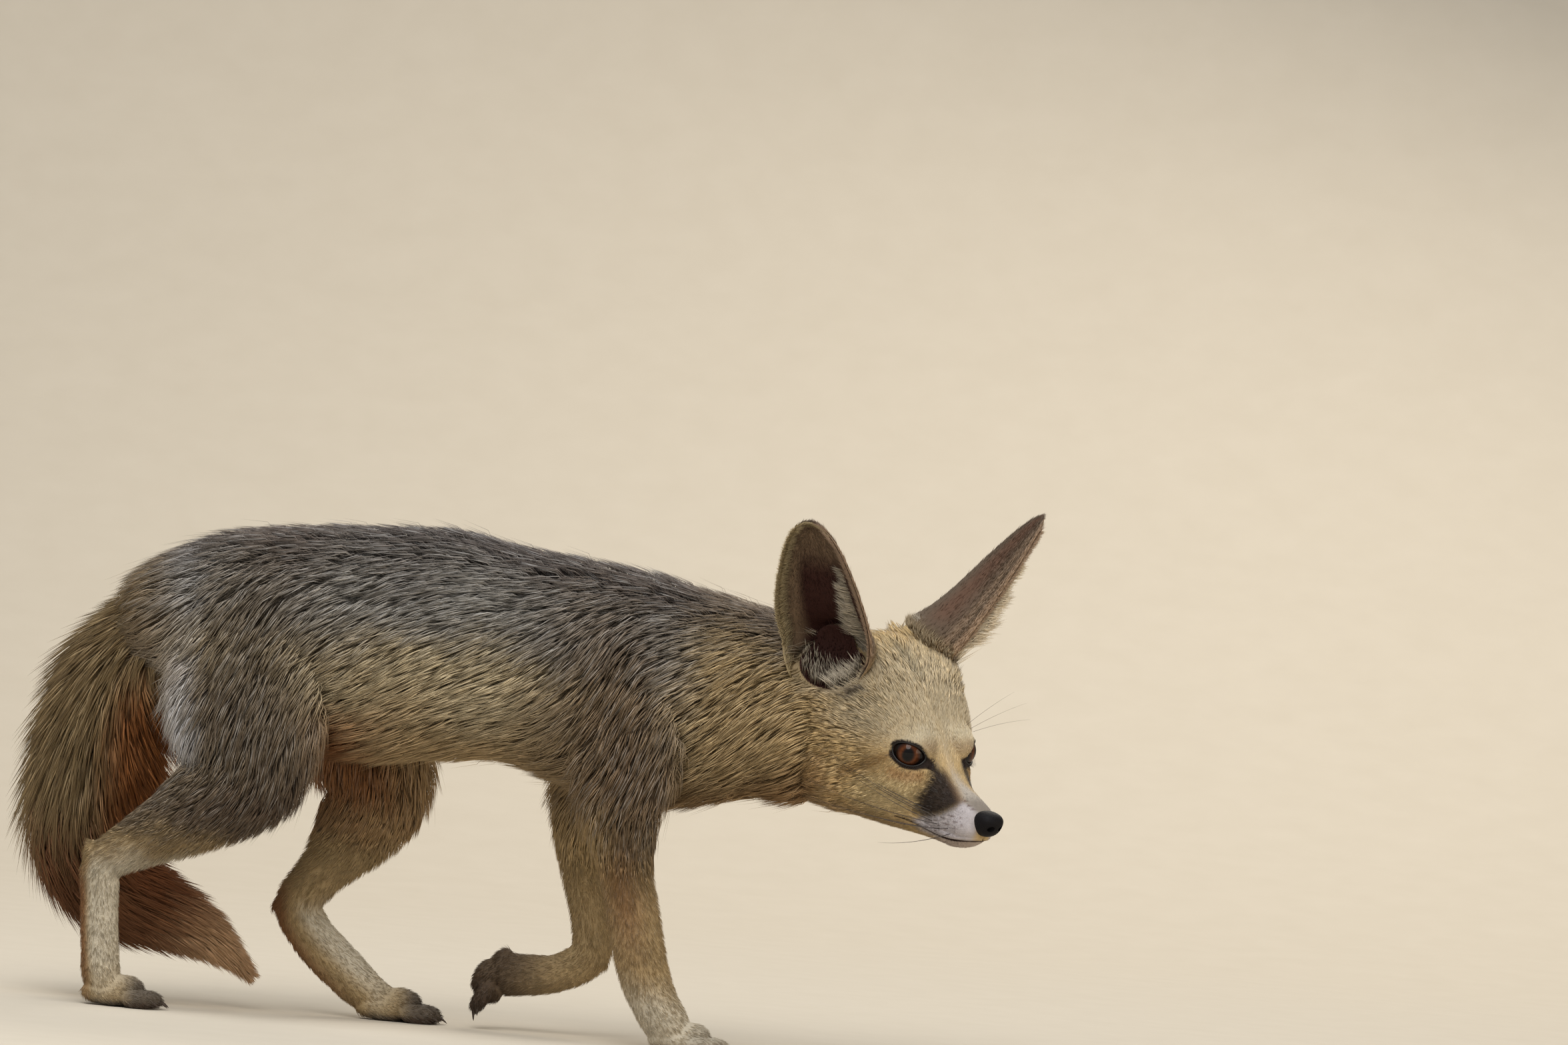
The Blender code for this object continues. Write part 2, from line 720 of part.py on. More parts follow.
def nose(where, helpers):
    """The nose pad, broad above and narrow below, with two nostrils and a groove between them."""
    made = nose_pad("nose", 0.0, where)
    cuts = collection("nostrils")
    groove = [head_point(f, 0.0, u) for f, u in NOSE_GROOVE]
    tube("groove", groove, NOSE_GROOVE_RADIUS, cuts)
    forward, side, up = NOSTRIL
    for hand in (-1, 1):
        turn = head_turn() @ Matrix.Rotation(math.radians(-24 * hand), 3, "Z")
        ellipsoid("nostril", head_point(forward, hand * side, up), NOSTRIL_RADII, turn, cuts, 8)
    combine(made, cuts, "DIFFERENCE")
    remove(*cuts.objects)
    bpy.data.collections.remove(cuts)
    return made


def ear_frame(hand):
    """The root of an ear and its ways to the tip, to the opening and across."""
    root = head_point(EAR_ROOT[0], hand * EAR_ROOT[1], EAR_ROOT[2])
    tip = head_way(EAR_TIP_WAY[0], hand * EAR_TIP_WAY[1], EAR_TIP_WAY[2]).normalized()
    outward = math.radians(EAR_OPENINGS[hand])
    opening = head_way(math.cos(outward), hand * math.sin(outward), 0.0)
    opening = (opening - tip * opening.dot(tip)).normalized()
    return root, tip, opening, tip.cross(opening)


def ear_point(hand, share, across):
    """A point of the ear's inner face: share goes up the ear, and across from -1 to 1 round the cup."""
    root, tip, opening, side = ear_frame(hand)
    rows = refined(EAR_PROFILE, 6)
    after = next((i for i, row in enumerate(rows) if row[0] >= share), len(rows) - 1)
    low, high = rows[max(after - 1, 0)], rows[after]
    part = 0.0 if high[0] == low[0] else (share - low[0]) / (high[0] - low[0])
    half_width = low[1] + (high[1] - low[1]) * part
    wrap = math.radians(low[2] + (high[2] - low[2]) * part)
    radius = half_width / math.sin(min(wrap, math.pi / 2))
    angle = wrap * across
    sink = radius * (math.cos(angle) - math.cos(min(wrap, math.pi / 2)))
    return root + tip * EAR_LENGTH * share + side * radius * math.sin(angle) - opening * sink


def ear(name, hand, where, flesh, helpers):
    """A cupped shell that narrows to a round tip, cut to the flesh with a thin gap."""
    bm = bmesh.new()
    low, high = EAR_PROFILE[0][0], EAR_PROFILE[-1][0]
    grid = []
    for i in range(EAR_ROWS):
        share = low + (high - low) * math.sin(math.pi / 2 * i / (EAR_ROWS - 1))
        row = []
        for k in range(EAR_COLUMNS):
            row.append(bm.verts.new(ear_point(hand, share, 2 * k / (EAR_COLUMNS - 1) - 1)))
        grid.append(row)
    for a, b in zip(grid, grid[1:]):
        for k in range(EAR_COLUMNS - 1):
            bm.faces.new((a[k], a[k + 1], b[k + 1], b[k]))
    made = new_object(name, bm, where)
    wall = made.modifiers.new("wall", "SOLIDIFY")
    wall.thickness = EAR_THICKNESS * CM
    wall.offset = 0.0
    apply_modifiers(made)
    bm = bmesh.new()
    bm.from_mesh(made.data)
    bmesh.ops.triangulate(bm, faces=bm.faces)
    bmesh.ops.recalc_face_normals(bm, faces=bm.faces)
    bm.to_mesh(made.data)
    bm.free()
    for node in flesh:
        cutter = grown(node, "cutter", helpers)
        combine(made, cutter, "DIFFERENCE")
        remove(cutter)
    keep_largest(made)
    return made


def tail_path():
    """Places along the tail, each with its distance from the root, way on, and core and coat radii."""
    rows = refined(TAIL, 6)
    path, distance = [], 0.0
    for i, row in enumerate(rows):
        here, after, before = (vector(rows[k]) for k in (i, min(i + 1, len(rows) - 1), max(i - 1, 0)))
        distance += (here - before).length if i else 0.0
        path.append((distance, here, (after - before).normalized(), row[3], row[4]))
    return path


def tail_at(path, distance):
    """The tail's place, way on, side, outward way, and radii at a distance from the root."""
    after = next((i for i, row in enumerate(path) if row[0] >= distance), len(path) - 1)
    low, high = path[max(after - 1, 0)], path[after]
    span = high[0] - low[0]
    part = min(max((distance - low[0]) / span, 0.0), 1.0) if span else 0.0
    along = low[2].lerp(high[2], part).normalized()
    place = low[1].lerp(high[1], part) + along * max(distance - path[-1][0], 0.0)
    side = (Vector((0, 1, 0)) - along * along.y).normalized()
    core, coat = (low[k] + (high[k] - low[k]) * part for k in (3, 4))
    return place, side, along.cross(side), core, coat


def tail_core(path, where):
    """The dense inner form of the tail, about half way out to the tips of the locks."""
    rings = []
    for distance, *_ in path[::2]:
        place, side, out, core, _ = tail_at(path, distance)
        rings.append([place + side * x * core * TAIL_FLATTENED + out * y * core for x, y in CORE_CIRCLE])
    return skin_rings("core", rings, where)


def tail_lock(path, start, angle, chance, where):
    """One flat lock that leaves the core, bends back along the tail and ends in a point."""
    core, coat = tail_at(path, start)[3:]
    length = coat * LOCK_LENGTH * chance.uniform(0.9, 1.15)
    width = coat * LOCK_WIDTH * chance.uniform(0.85, 1.15)
    reach = LOCK_SPREAD * chance.uniform(0.93, 1.03)
    sway = chance.uniform(-0.12, 0.12)
    rings = []
    for share, breadth in LOCK_STAGES:
        place, side, out, _, coat = tail_at(path, start + length * share)
        turn = angle + sway * share
        way = side * math.cos(turn) * TAIL_FLATTENED + out * math.sin(turn)
        around = (out * math.cos(turn) - side * math.sin(turn)).normalized()
        rise = LOCK_ROOT * core + (coat * reach - LOCK_ROOT * core) * share**0.8
        middle = place + way * rise
        half = width * breadth / 2
        flat = half * LOCK_THICKNESS
        across, thick = around * half, way * flat
        rings.append([middle + across, middle + thick, middle - across, middle - thick])
    return pointed(rings, where)


def pointed(rings, where):
    """A closed lock through rings of four points, of which the last is drawn to one point."""
    bm = bmesh.new()
    loops = [[bm.verts.new(p) for p in ring] for ring in rings[:-1]]
    tip = bm.verts.new(sum(rings[-1], Vector()) / 4)
    for low, high in zip(loops, loops[1:]):
        for k in range(4):
            bm.faces.new((low[k], low[k - 3], high[k - 3], high[k]))
    for k in range(4):
        bm.faces.new((loops[-1][k], loops[-1][k - 3], tip))
    bm.faces.new(loops[0])
    bmesh.ops.triangulate(bm, faces=bm.faces)
    return new_object("lock", bm, where)


def tail_whole(where):
    """The core with all its locks, joined into one closed body."""
    path = tail_path()
    whole = tail_core(path, where)
    chance = random.Random(SEED)
    locks = collection("locks")
    start, turned = LOCK_FIRST_RING, 0.0
    while start < path[-1][0] - LOCK_LAST_RING:
        core, coat = tail_at(path, start)[3:]
        count = max(4, round(math.pi * (core + coat) / (coat * LOCK_WIDTH) / LOCK_CROWDING))
        for k in range(count):
            angle = 2 * math.pi * (k + turned + chance.uniform(-0.15, 0.15)) / count
            tail_lock(path, start + chance.uniform(-0.35, 0.35), angle, chance, locks)
        start += max(LOCK_SHORTEST_STEP, LOCK_RING_STEP * coat / LOCK_WIDEST_COAT)
        turned += 0.5
    combine(whole, locks, "UNION", "MANIFOLD")
    remove(*locks.objects)
    bpy.data.collections.remove(locks)
    keep_largest(whole)
    return whole


def tail_nodes(where, helpers, near):
    """The tail in three lengths, cut clear of the nodes that it hangs beside."""
    whole = tail_whole(helpers)
    for node in near:
        cutter = grown(node, "cutter", helpers)
        combine(whole, cutter, "DIFFERENCE")
        remove(cutter)
        keep_largest(whole)
    made = {}
    for name, centre, sizes in (
        ("tail_root", Vector((-15, 0, 22.5)), (14, 14, 10)),
        ("tail_tip", Vector((-9.0, 0, 3.5)), (10.0, 14, 9.0)),
    ):
        inside = block("inside", centre, sizes, Matrix.Identity(3), helpers)
        outside = block("outside", centre, [s + 2 * GAP for s in sizes], Matrix.Identity(3), helpers)
        piece = copy_of(whole, name, where)
        combine(piece, inside, "INTERSECT")
        combine(whole, outside, "DIFFERENCE")
        remove(inside, outside)
        keep_largest(piece)
        keep_largest(whole)
        made[name] = piece
    whole.name = "tail_middle"
    helpers.objects.unlink(whole)
    where.objects.link(whole)
    made["tail_middle"] = whole
    return made


def stand_at_origin(nodes):
    """Moves the fox so that the origin is under the middle of its box."""
    corners = [v.co for obj in nodes.values() for v in obj.data.vertices]
    low = [min(c[i] for c in corners) for i in range(3)]
    high = [max(c[i] for c in corners) for i in range(3)]
    shift = Matrix.Translation((-(low[0] + high[0]) / 2, -(low[1] + high[1]) / 2, -low[2]))
    for obj in nodes.values():
        obj.data.transform(shift)
    return shift


def paint(nodes):
    """Gives each node its plain colour from the coat, nose and eyes."""
    coat = material("coat_grey", (0.33, 0.28, 0.2), 0.8)
    pale = material("coat_pale", (0.5, 0.42, 0.29), 0.8)
    rusty = material("coat_rusty", (0.3, 0.16, 0.07), 0.8)
    dark = material("nose_black", (0.02, 0.018, 0.018), 0.35)
    amber = material("eye_amber", (0.16, 0.06, 0.02), 0.1)
    looks = {"nose": dark, "eye_right": amber, "eye_left": amber, "torso": coat, "neck": coat}
    for name, obj in nodes.items():
        look = looks.get(name, rusty if name.startswith("tail") else pale)
        obj.data.materials.clear()
        obj.data.materials.append(look)
        obj.data.shade_smooth()


def build():
    clear_scene()
    where, helpers = collection("sand_fox"), collection("cutters")
    nodes = body_nodes(where, helpers)
    add_claws(nodes, helpers)
    head = nodes["head"]
    for name, hand in (("ear_right", -1), ("ear_left", 1)):
        nodes[name] = ear(name, hand, where, (head, nodes["neck"]), helpers)
    finish_head(head, helpers)
    nodes["nose"] = nose(where, helpers)
    nodes["eye_right"] = eye("eye_right", -1, where)
    nodes["eye_left"] = eye("eye_left", 1, where)
    near = [nodes[n] for n in ("torso", "hindleg_right", "hindleg_left", "hindpaw_right", "hindpaw_left")]
    nodes.update(tail_nodes(where, helpers, near))
    stand_at_origin(nodes)
    paint(nodes)
    return nodes


if __name__ == "__main__":
    build()
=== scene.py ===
"""Dresses the sand fox: its skin, coat, eyes, nose, claws and whiskers, round the fixed frame of its solids.

The body plan is in centimetres, as in the solids: the fox faces +X and its right side faces -Y.
SHIFT carries the plan to the frame. The coat is closed mesh tufts that stand on a skin sunk inside
the solids by the coat's depth, so that the tips of the hair reach the solids' outline.
"""

import math

import bmesh
import bpy
import numpy as np
from mathutils import Matrix, Vector
from mathutils.bvhtree import BVHTree
from mathutils.kdtree import KDTree


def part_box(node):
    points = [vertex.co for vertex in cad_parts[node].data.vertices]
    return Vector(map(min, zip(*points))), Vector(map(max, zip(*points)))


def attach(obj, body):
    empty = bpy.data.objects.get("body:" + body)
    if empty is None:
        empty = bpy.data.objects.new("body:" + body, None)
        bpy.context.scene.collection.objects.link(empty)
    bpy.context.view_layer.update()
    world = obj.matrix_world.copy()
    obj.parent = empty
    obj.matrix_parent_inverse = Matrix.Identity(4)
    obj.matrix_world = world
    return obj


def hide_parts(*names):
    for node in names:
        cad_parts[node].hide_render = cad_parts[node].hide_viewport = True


CM = 0.01
SEED = 5
BODY = "root"
# The right and the left of what is paired.
HANDS = (-1, 1)

# The trunk, from the rump to the nape: x, y, top, underside, half width, depth of the coat.
TRUNK = (
    (-14.8, 0.0, 20.9, 18.9, 1.2, 0.4),
    (-13.9, 0.0, 22.0, 17.6, 2.6, 0.8),
    (-12.0, 0.0, 23.3, 15.9, 3.9, 1.0),
    (-9.5, 0.0, 24.3, 14.3, 4.5, 1.0),
    (-6.0, 0.0, 24.8, 13.2, 4.4, 1.0),
    (-2.0, 0.0, 25.1, 12.9, 4.2, 1.0),
    (1.5, 0.0, 25.2, 13.3, 4.1, 1.0),
    (5.0, 0.0, 24.6, 13.3, 4.4, 1.0),
    (8.0, 0.0, 24.3, 12.4, 4.6, 1.0),
    (11.0, 0.0, 23.9, 11.8, 4.4, 1.0),
    (14.0, 0.0, 23.3, 12.0, 4.0, 1.1),
    (17.0, -0.2, 22.7, 12.6, 4.0, 1.05),
    (19.5, -0.6, 22.1, 12.7, 3.9, 0.8),
    (21.5, -1.0, 21.3, 13.2, 3.4, 0.6),
)

# The legs, from the top down: x, y, z, radius fore and aft, radius sideways, depth of the coat.
HINDLEG_RIGHT = (
    (-8.4, -2.5, 20.0, 4.2, 1.8, 0.9),
    (-8.4, -3.3, 15.6, 4.3, 2.1, 0.8),
    (-8.2, -3.6, 12.4, 3.3, 2.0, 0.6),
    (-10.6, -3.7, 9.9, 2.3, 1.6, 0.4),
    (-13.3, -3.7, 8.2, 1.5, 1.2, 0.25),
    (-15.0, -3.7, 7.0, 1.15, 1.0, 0.16),
    (-15.0, -3.7, 5.2, 1.05, 0.85, 0.13),
    (-14.8, -3.7, 3.0, 1.04, 0.85, 0.12),
    (-14.5, -3.7, 1.3, 1.05, 0.95, 0.12),
)
HINDLEG_LEFT = (
    (-6.3, 2.5, 20.0, 4.0, 1.8, 0.9),
    (-3.6, 3.2, 15.6, 3.9, 2.1, 0.8),
    (-1.8, 3.4, 12.4, 3.0, 2.0, 0.6),
    (-2.5, 3.5, 9.6, 2.4, 1.6, 0.4),
    (-4.2, 3.5, 7.2, 1.5, 1.2, 0.25),
    (-5.3, 3.5, 5.5, 1.3, 1.0, 0.16),
    (-4.5, 3.5, 4.0, 1.25, 0.85, 0.13),
    (-2.9, 3.5, 2.5, 1.25, 0.85, 0.12),
    (-1.4, 3.5, 1.3, 1.1, 0.95, 0.12),
)
FORELEG_RIGHT = (
    (9.6, -2.5, 19.5, 2.8, 1.5, 0.9),
    (10.6, -3.2, 15.5, 3.1, 1.6, 0.8),
    (10.5, -3.4, 12.2, 2.3, 1.6, 0.5),
    (10.95, -3.3, 9.3, 1.5, 1.3, 0.3),
    (11.6, -3.2, 6.5, 1.5, 1.15, 0.2),
    (12.2, -3.1, 4.2, 1.42, 1.1, 0.17),
    (12.9, -3.1, 2.6, 1.3, 1.05, 0.14),
    (13.8, -3.1, 1.3, 1.2, 1.1, 0.12),
)
FORELEG_LEFT = (
    (9.5, 2.5, 19.0, 2.8, 1.5, 0.9),
    (9.4, 3.1, 15.0, 2.6, 1.6, 0.7),
    (8.7, 3.1, 11.5, 1.75, 1.4, 0.4),
    (8.9, 3.0, 8.5, 1.35, 1.2, 0.25),
    (9.5, 3.0, 5.8, 1.2, 1.05, 0.2),
    (9.5, 3.0, 4.1, 1.15, 1.0, 0.15),
    (8.0, 3.0, 3.15, 1.05, 0.95, 0.13),
    (6.3, 3.0, 2.9, 1.15, 1.0, 0.13),
    (5.2, 3.0, 2.85, 1.15, 1.0, 0.12),
)
LEGS = {
    "hindleg_right": HINDLEG_RIGHT,
    "hindleg_left": HINDLEG_LEFT,
    "foreleg_right": FORELEG_RIGHT,
    "foreleg_left": FORELEG_LEFT,
}
# The bones that stand out: middle and radii.
KNOBS = (
    ((-15.55, -3.7, 7.5), (0.55, 0.5, 0.85)),
    ((-5.95, 3.5, 5.3), (0.8, 0.5, 0.6)),
    ((9.9, 3.0, 3.9), (0.75, 0.85, 0.7)),
)
# The paws: the middle of the pad, yaw and dip of the toes in degrees, and the size.
PAWS = {
    "hindpaw_right": ((-13.9, -3.75, 0.62), -4.0, 0.0, 1.0),
    "hindpaw_left": ((-0.3, 3.55, 0.62), 4.0, 0.0, 1.08),
    "forepaw_right": ((14.4, -3.15, 0.62), -6.0, 0.0, 1.0),
    "forepaw_left": ((4.85, 3.0, 2.85), 180.0, 60.0, 0.9),
}
LIFTED_PAW = "forepaw_left"
PAD_RADII = (1.35, 1.08, 0.78)
TOE_PLACES = ((1.25, -0.86), (1.62, -0.3), (1.62, 0.3), (1.25, 0.86))
TOE_RADII = (0.85, 0.34, 0.5)
TOE_DROP = 0.16
INSTEP_PLACE = (0.35, 0.0, 0.3)
INSTEP_RADII = (1.25, 0.95, 0.8)
# Where the leg's own line ends inside the paw, and its radius there.
ANKLE_END = (0.5, 0.0, 0.0)
ANKLE_RADIUS = 0.7
HEEL_PLACE = (-0.75, 0.0, 0.05)
HEEL_RADII = (1.0, 0.92, 0.68)
# The palm of the lifted paw, which hangs under its toes.
PALM_PLACE = (0.8, 0.0, -0.5)
PALM_RADII = (0.85, 0.9, 0.7)
PAW_COAT = 0.12
# How much deeper a form's end is sunk where it runs on inside another.
END_SUNK = 0.1
# How far the soles' skin stands off the floor.
SOLE = 0.01
CLAW_LENGTH = 0.6
CLAW_RADIUS = 0.1

# The head's own frame: forward from the eyes to the nose, side to its left, up to the crown.
EYES_MIDDLE = Vector((25.84, -4.9, 16.1))
HEAD_YAW = math.radians(-48.9)
HEAD_PITCH = math.radians(14.8)
HEAD_ROLL = math.radians(3.7)
# The head from the nape to the lip: forward, top, underside, half width, squareness, depth of the coat.
HEAD = (
    (-9.2, 2.6, -4.0, 2.6, 2.2, 0.6),
    (-8.3, 3.3, -4.5, 3.3, 2.3, 0.6),
    (-7.0, 4.0, -4.7, 3.8, 2.5, 0.55),
    (-5.5, 4.4, -4.7, 4.05, 2.8, 0.5),
    (-4.0, 4.25, -4.6, 4.15, 3.0, 0.45),
    (-2.6, 3.55, -4.45, 3.95, 3.0, 0.34),
    (-1.2, 2.5, -4.3, 3.4, 3.0, 0.22),
    (0.2, 1.2, -4.15, 2.5, 2.9, 0.16),
    (1.2, 0.05, -4.05, 1.8, 2.6, 0.12),
    (2.2, -0.65, -3.98, 1.42, 2.4, 0.1),
    (3.2, -0.95, -3.9, 1.2, 2.4, 0.08),
    (4.0, -1.15, -3.6, 1.05, 2.3, 0.06),
    (4.55, -1.35, -3.15, 0.85, 2.2, 0.05),
    (4.8, -1.6, -2.9, 0.5, 2.0, 0.04),
)
# Soft masses on both sides of the head: forward, side, up, three radii, depth of the coat.
HEAD_MASSES = (
    (-3.4, 2.25, -1.9, 2.6, 1.9, 2.1, 0.4),
    (-1.6, 1.36, 0.25, 2.85, 1.42, 1.5, 0.14),
    (3.7, 0.6, -2.45, 1.15, 0.6, 0.75, 0.06),
    (-4.6, 2.3, 1.6, 3.2, 1.9, 2.6, 0.45),
    (-6.2, 3.0, 1.9, 2.3, 1.7, 2.1, 0.55),
    (-5.9, 2.7, 3.7, 1.5, 1.4, 1.35, 0.35),
)
NOSE_CENTRE = (4.86, 0.0, -2.0)
NOSE_SUNK = 0.05
NOSE_RADII = (0.8, 0.66, 0.66)
NOSE_SQUARENESS = 0.86
NOSE_TAPER = 0.2
NOSE_LEAN = 0.2
NOSE_GROOVE = ((5.72, -1.95), (5.6, -2.3), (5.3, -2.65), (4.9, -2.8))
NOSE_GROOVE_RADIUS = 0.04
NOSTRIL = (5.5, 0.3, -2.02)
NOSTRIL_RADII = (0.3, 0.14, 0.17)
NOSTRIL_TURN = 24.0
EYE_CENTRE = (-0.1, 1.54, 0.08)
EYE_RADIUS = 0.9
EYE_TURN = math.radians(46.0)
EYE_SLANT = math.radians(8.0)
LID_WIDTH = math.radians(64.0)
LID_HEIGHT = math.radians(35.0)
LID_THICKNESS = 0.13
SOCKET_GAP = 0.01
# The rings of the cutter that opens the lids, in radii of the eye.
APERTURE_REACHES = (0.5, 1.0, 1.5, 2.4)
RIM_POINTS = 64
IRIS_RADIUS = 0.64
PUPIL_RADIUS = 0.3
CORNEA_RISE = 0.05
# The line of the mouth from the middle of the lip to its corner: forward, side, up.
MOUTH = (
    (4.8, 0.0, -3.05), (4.4, 0.7, -3.15), (3.5, 1.05, -3.38), (2.6, 1.25, -3.5), (1.8, 1.45, -3.4),
    (1.05, 1.65, -3.18), (0.3, 1.95, -3.1),
)
MOUTH_DEPTH = 0.07
LIP_RADIUS = 0.2
LIP_RISE = 0.22
LIP_SUNK = 0.12

# The marks of the face, outlined as the fox's right side shows them level from the side: centimetres to the
# right of the point between the eyes and above it. The left side has the same marks.
EYE_MARK = (
    (-2.31, -0.26), (-2.04, 0.06), (-1.63, 0.31), (-1.18, 0.35), (-0.73, 0.15), (-0.45, -0.06),
    (-0.1, -0.34), (0.08, -0.66), (0.02, -0.86), (-0.39, -0.78), (-0.97, -0.91), (-1.57, -0.83),
    (-2.01, -0.53),
)
TEAR_MARK = (
    (-0.25, -0.55), (0.08, -0.55), (0.72, -1.0), (1.03, -1.55), (1.4, -2.25), (1.05, -2.67), (0.49, -3.0),
    (-0.19, -3.15), (-0.57, -2.87), (-0.56, -2.28), (-0.31, -1.76), (-0.02, -1.19),
)
TEAR_FRONT = ((0.6, -0.85), (1.3, -1.6), (1.6, -2.15), (1.15, -2.5), (0.8, -1.8), (0.6, -1.1))
PAD_MARK = (
    (-0.66, -3.41), (-0.19, -3.1), (0.52, -2.93), (1.08, -2.6), (1.56, -2.2), (2.6, -2.6), (3.2, -3.4),
    (2.84, -4.15), (1.97, -4.25), (0.78, -4.2), (-0.23, -3.88),
)
BRIDGE_MARK = (
    (0.6, 0.5), (2.0, 0.5), (2.6, -0.9), (3.3, -2.3), (2.5, -2.9), (1.83, -2.5), (1.5, -2.1), (1.05, -1.1),
)
CHIN_MARK = ((-0.2, -4.25), (2.9, -4.05), (2.8, -5.0), (1.2, -5.1), (0.3, -4.8))
CREAM_MARK = ((-3.0, -1.3), (-0.85, -1.18), (-0.55, -1.88), (-1.19, -3.02), (-2.66, -3.04), (-3.82, -2.16))
RUST_MARK = ((-2.25, -0.8), (-1.45, -0.95), (-0.5, -0.9), (-0.4, -1.3), (-1.23, -1.5), (-2.1, -1.35))
STREAK_MARK = ((-2.2, -0.05), (-2.2, -0.5), (-3.04, -0.95), (-4.1, -1.5), (-4.3, -1.1), (-3.27, -0.45))
BROW_MARK = ((-1.5, 0.65), (-0.85, 1.18), (-0.26, 1.15), (-0.1, 0.7), (-0.8, 0.55), (-1.35, 0.45))
BROW_SHADE = ((-0.87, 0.25), (-0.49, 0.6), (0.05, 0.46), (0.0, 0.05), (-0.47, 0.05))
CROWN_MARK = (
    (-2.6, 5.9), (-1.7, 5.9), (-1.1, 5.0), (-0.3, 4.12), (0.0, 3.3), (-0.85, 3.3), (-1.7, 4.2), (-2.5, 5.0),
)
JAW_MARK = ((-6.82, -0.35), (-5.03, -0.59), (-4.5, -2.14), (-5.63, -3.0), (-7.2, -2.8))
EAR_BASE_MARK = ((-4.85, 2.25), (-4.2, 2.25), (-3.55, 2.75), (-3.75, 3.05), (-4.5, 2.8))
# Short dark strokes on the side of the muzzle, in the same terms.
STROKES = (
    (0.1, -3.35), (0.45, -3.25), (0.8, -3.1), (1.15, -2.95), (0.2, -3.62), (0.55, -3.5), (0.9, -3.38),
    (1.3, -3.2), (1.6, -3.0), (0.5, -3.8), (0.9, -3.68), (1.35, -3.52), (1.7, -3.35), (1.75, -2.15),
    (1.95, -2.35), (1.8, -1.8), (2.15, -2.5),
)

# The outline of each stroke, in the photo's plan about its place.
STROKE = ((-0.16, -0.05), (0.12, -0.02), (-0.1, 0.05))

# The ears: the middle of the root, the way to the tip, how far out from the nose's way the right and the
# left cup open, in degrees, and the shell.
EAR_ROOT = (-5.21, 3.74, 3.2)
EAR_TIP_WAY = (1.15, 3.8, 7.6)
EAR_OPENINGS = {-1: 68.5, 1: 58.5}
# How much narrower the right and the left ear's root is than its solid, where it goes into the head.
EAR_ROOT_TAPER = {-1: 0.0, 1: 0.95}
EAR_LENGTH = 8.6
EAR_THICKNESS = 0.16
# The rows and columns of the shell's faces.
EAR_GRID = (46, 33)
# Up the ear: share of the length, half width, and half the angle that the shell wraps round, in degrees.
EAR_PROFILE = (
    (-0.14, 1.85, 118.0),
    (0.0, 2.35, 98.0),
    (0.15, 2.68, 72.0),
    (0.35, 2.65, 56.0),
    (0.6, 2.2, 50.0),
    (0.8, 1.65, 45.0),
    (0.93, 1.05, 40.0),
    (0.985, 0.52, 34.0),
    (1.0, 0.12, 30.0),
)

# The pit in the head that the hollow of an ear runs down into: how far its middle is up the ear and out of
# its opening from the root, and its radii out of the opening, across and up.
ON_SURFACE = 0.04
PIT_PLACE = (0.6, 0.1)
PIT_RADII = (1.85, 2.15, 1.95)

# The tail from the rump to the tip: x, y, z, radius of the core, radius of the coat.
TAIL = (
    (-11.6, 0.2, 20.5, 1.7, 2.0),
    (-13.6, 0.5, 19.0, 1.7, 2.5),
    (-15.2, 1.2, 16.6, 1.8, 3.5),
    (-16.0, 1.7, 13.6, 1.9, 4.0),
    (-16.2, 2.0, 10.3, 1.9, 4.1),
    (-15.9, 2.1, 7.6, 1.7, 4.0),
    (-14.1, 2.1, 5.4, 1.4, 3.2),
    (-11.8, 2.1, 4.5, 1.05, 2.3),
    (-9.8, 2.1, 3.6, 0.6, 1.7),
    (-8.3, 2.1, 2.6, 0.3, 1.0),
    (-7.5, 2.1, 1.9, 0.1, 0.45),
)
TAIL_FLATTENED = 0.86

# The camera: the width of the view at the fox, the distance, and the photograph's tilts.
VIEW_WIDTH = 0.784
VIEW_DISTANCE = 9.5
VIEW_ROLL = math.radians(4.86)
VIEW_DROP = math.radians(1.75)
VIEW_TARGET = Vector((17.40, 0.0, 26.74))
SENSOR = 36.0
# How far behind the fox the floor begins to sweep up, and the radius of the sweep, in metres.
SWEEP_START = 1.2
SWEEP_RADIUS = 1.6

# How the skin is meshed, in centimetres. The trunk from the neck's start on is also meshed with the head.
NECK_START = 11.0
RING_POINTS = 40
TRUNK_SQUARENESS = 2.2
HEAD_VOXEL = 0.085
BODY_VOXEL = 0.2
PAW_VOXEL = 0.08
HEAD_SMOOTHING = 16
BODY_SMOOTHING = 3
PAW_SMOOTHING = 5
# Where head and body are cut, how far they overlap, how far below the eyes the head's part reaches, and the
# size of the block that cuts.
HEAD_BACK = -7.2
HEAD_OVERLAP = 0.1
HEAD_FLOOR = 8.0
BLOCK = 60.0


def srgb(red, green, blue):
    """Linear light from display values of 0 to 255."""
    values = np.array((red, green, blue)) / 255.0
    return np.where(values <= 0.04045, values / 12.92, ((values + 0.055) / 1.055) ** 2.4)


# The colours of the coat.
BACK = srgb(100, 92, 88)
RIDGE = srgb(84, 58, 42)
SILVER = srgb(150, 146, 140)
FLANK = srgb(172, 156, 126)
BELLY = srgb(184, 160, 122)
GREY_TIP = srgb(208, 206, 204)
DARK_TIP = srgb(46, 38, 34)
RUMP = srgb(138, 118, 88)
THIGH = srgb(124, 110, 92)
THIGH_RIM = srgb(206, 206, 210)
KNEE = srgb(92, 76, 62)
NECK = srgb(182, 160, 122)
NAPE = srgb(104, 94, 82)
THROAT = srgb(142, 112, 78)
SHOULDER = srgb(120, 100, 80)
LEG = srgb(176, 152, 112)
LEG_PALE = srgb(208, 198, 178)
LEG_DARK = srgb(84, 70, 58)
LEG_RUST = srgb(132, 84, 48)
TOE = srgb(86, 78, 72)
PAW_DARK = srgb(72, 56, 46)
SANDY = srgb(202, 174, 126)
FOREHEAD = srgb(192, 174, 142)
CROWN = srgb(110, 106, 88)
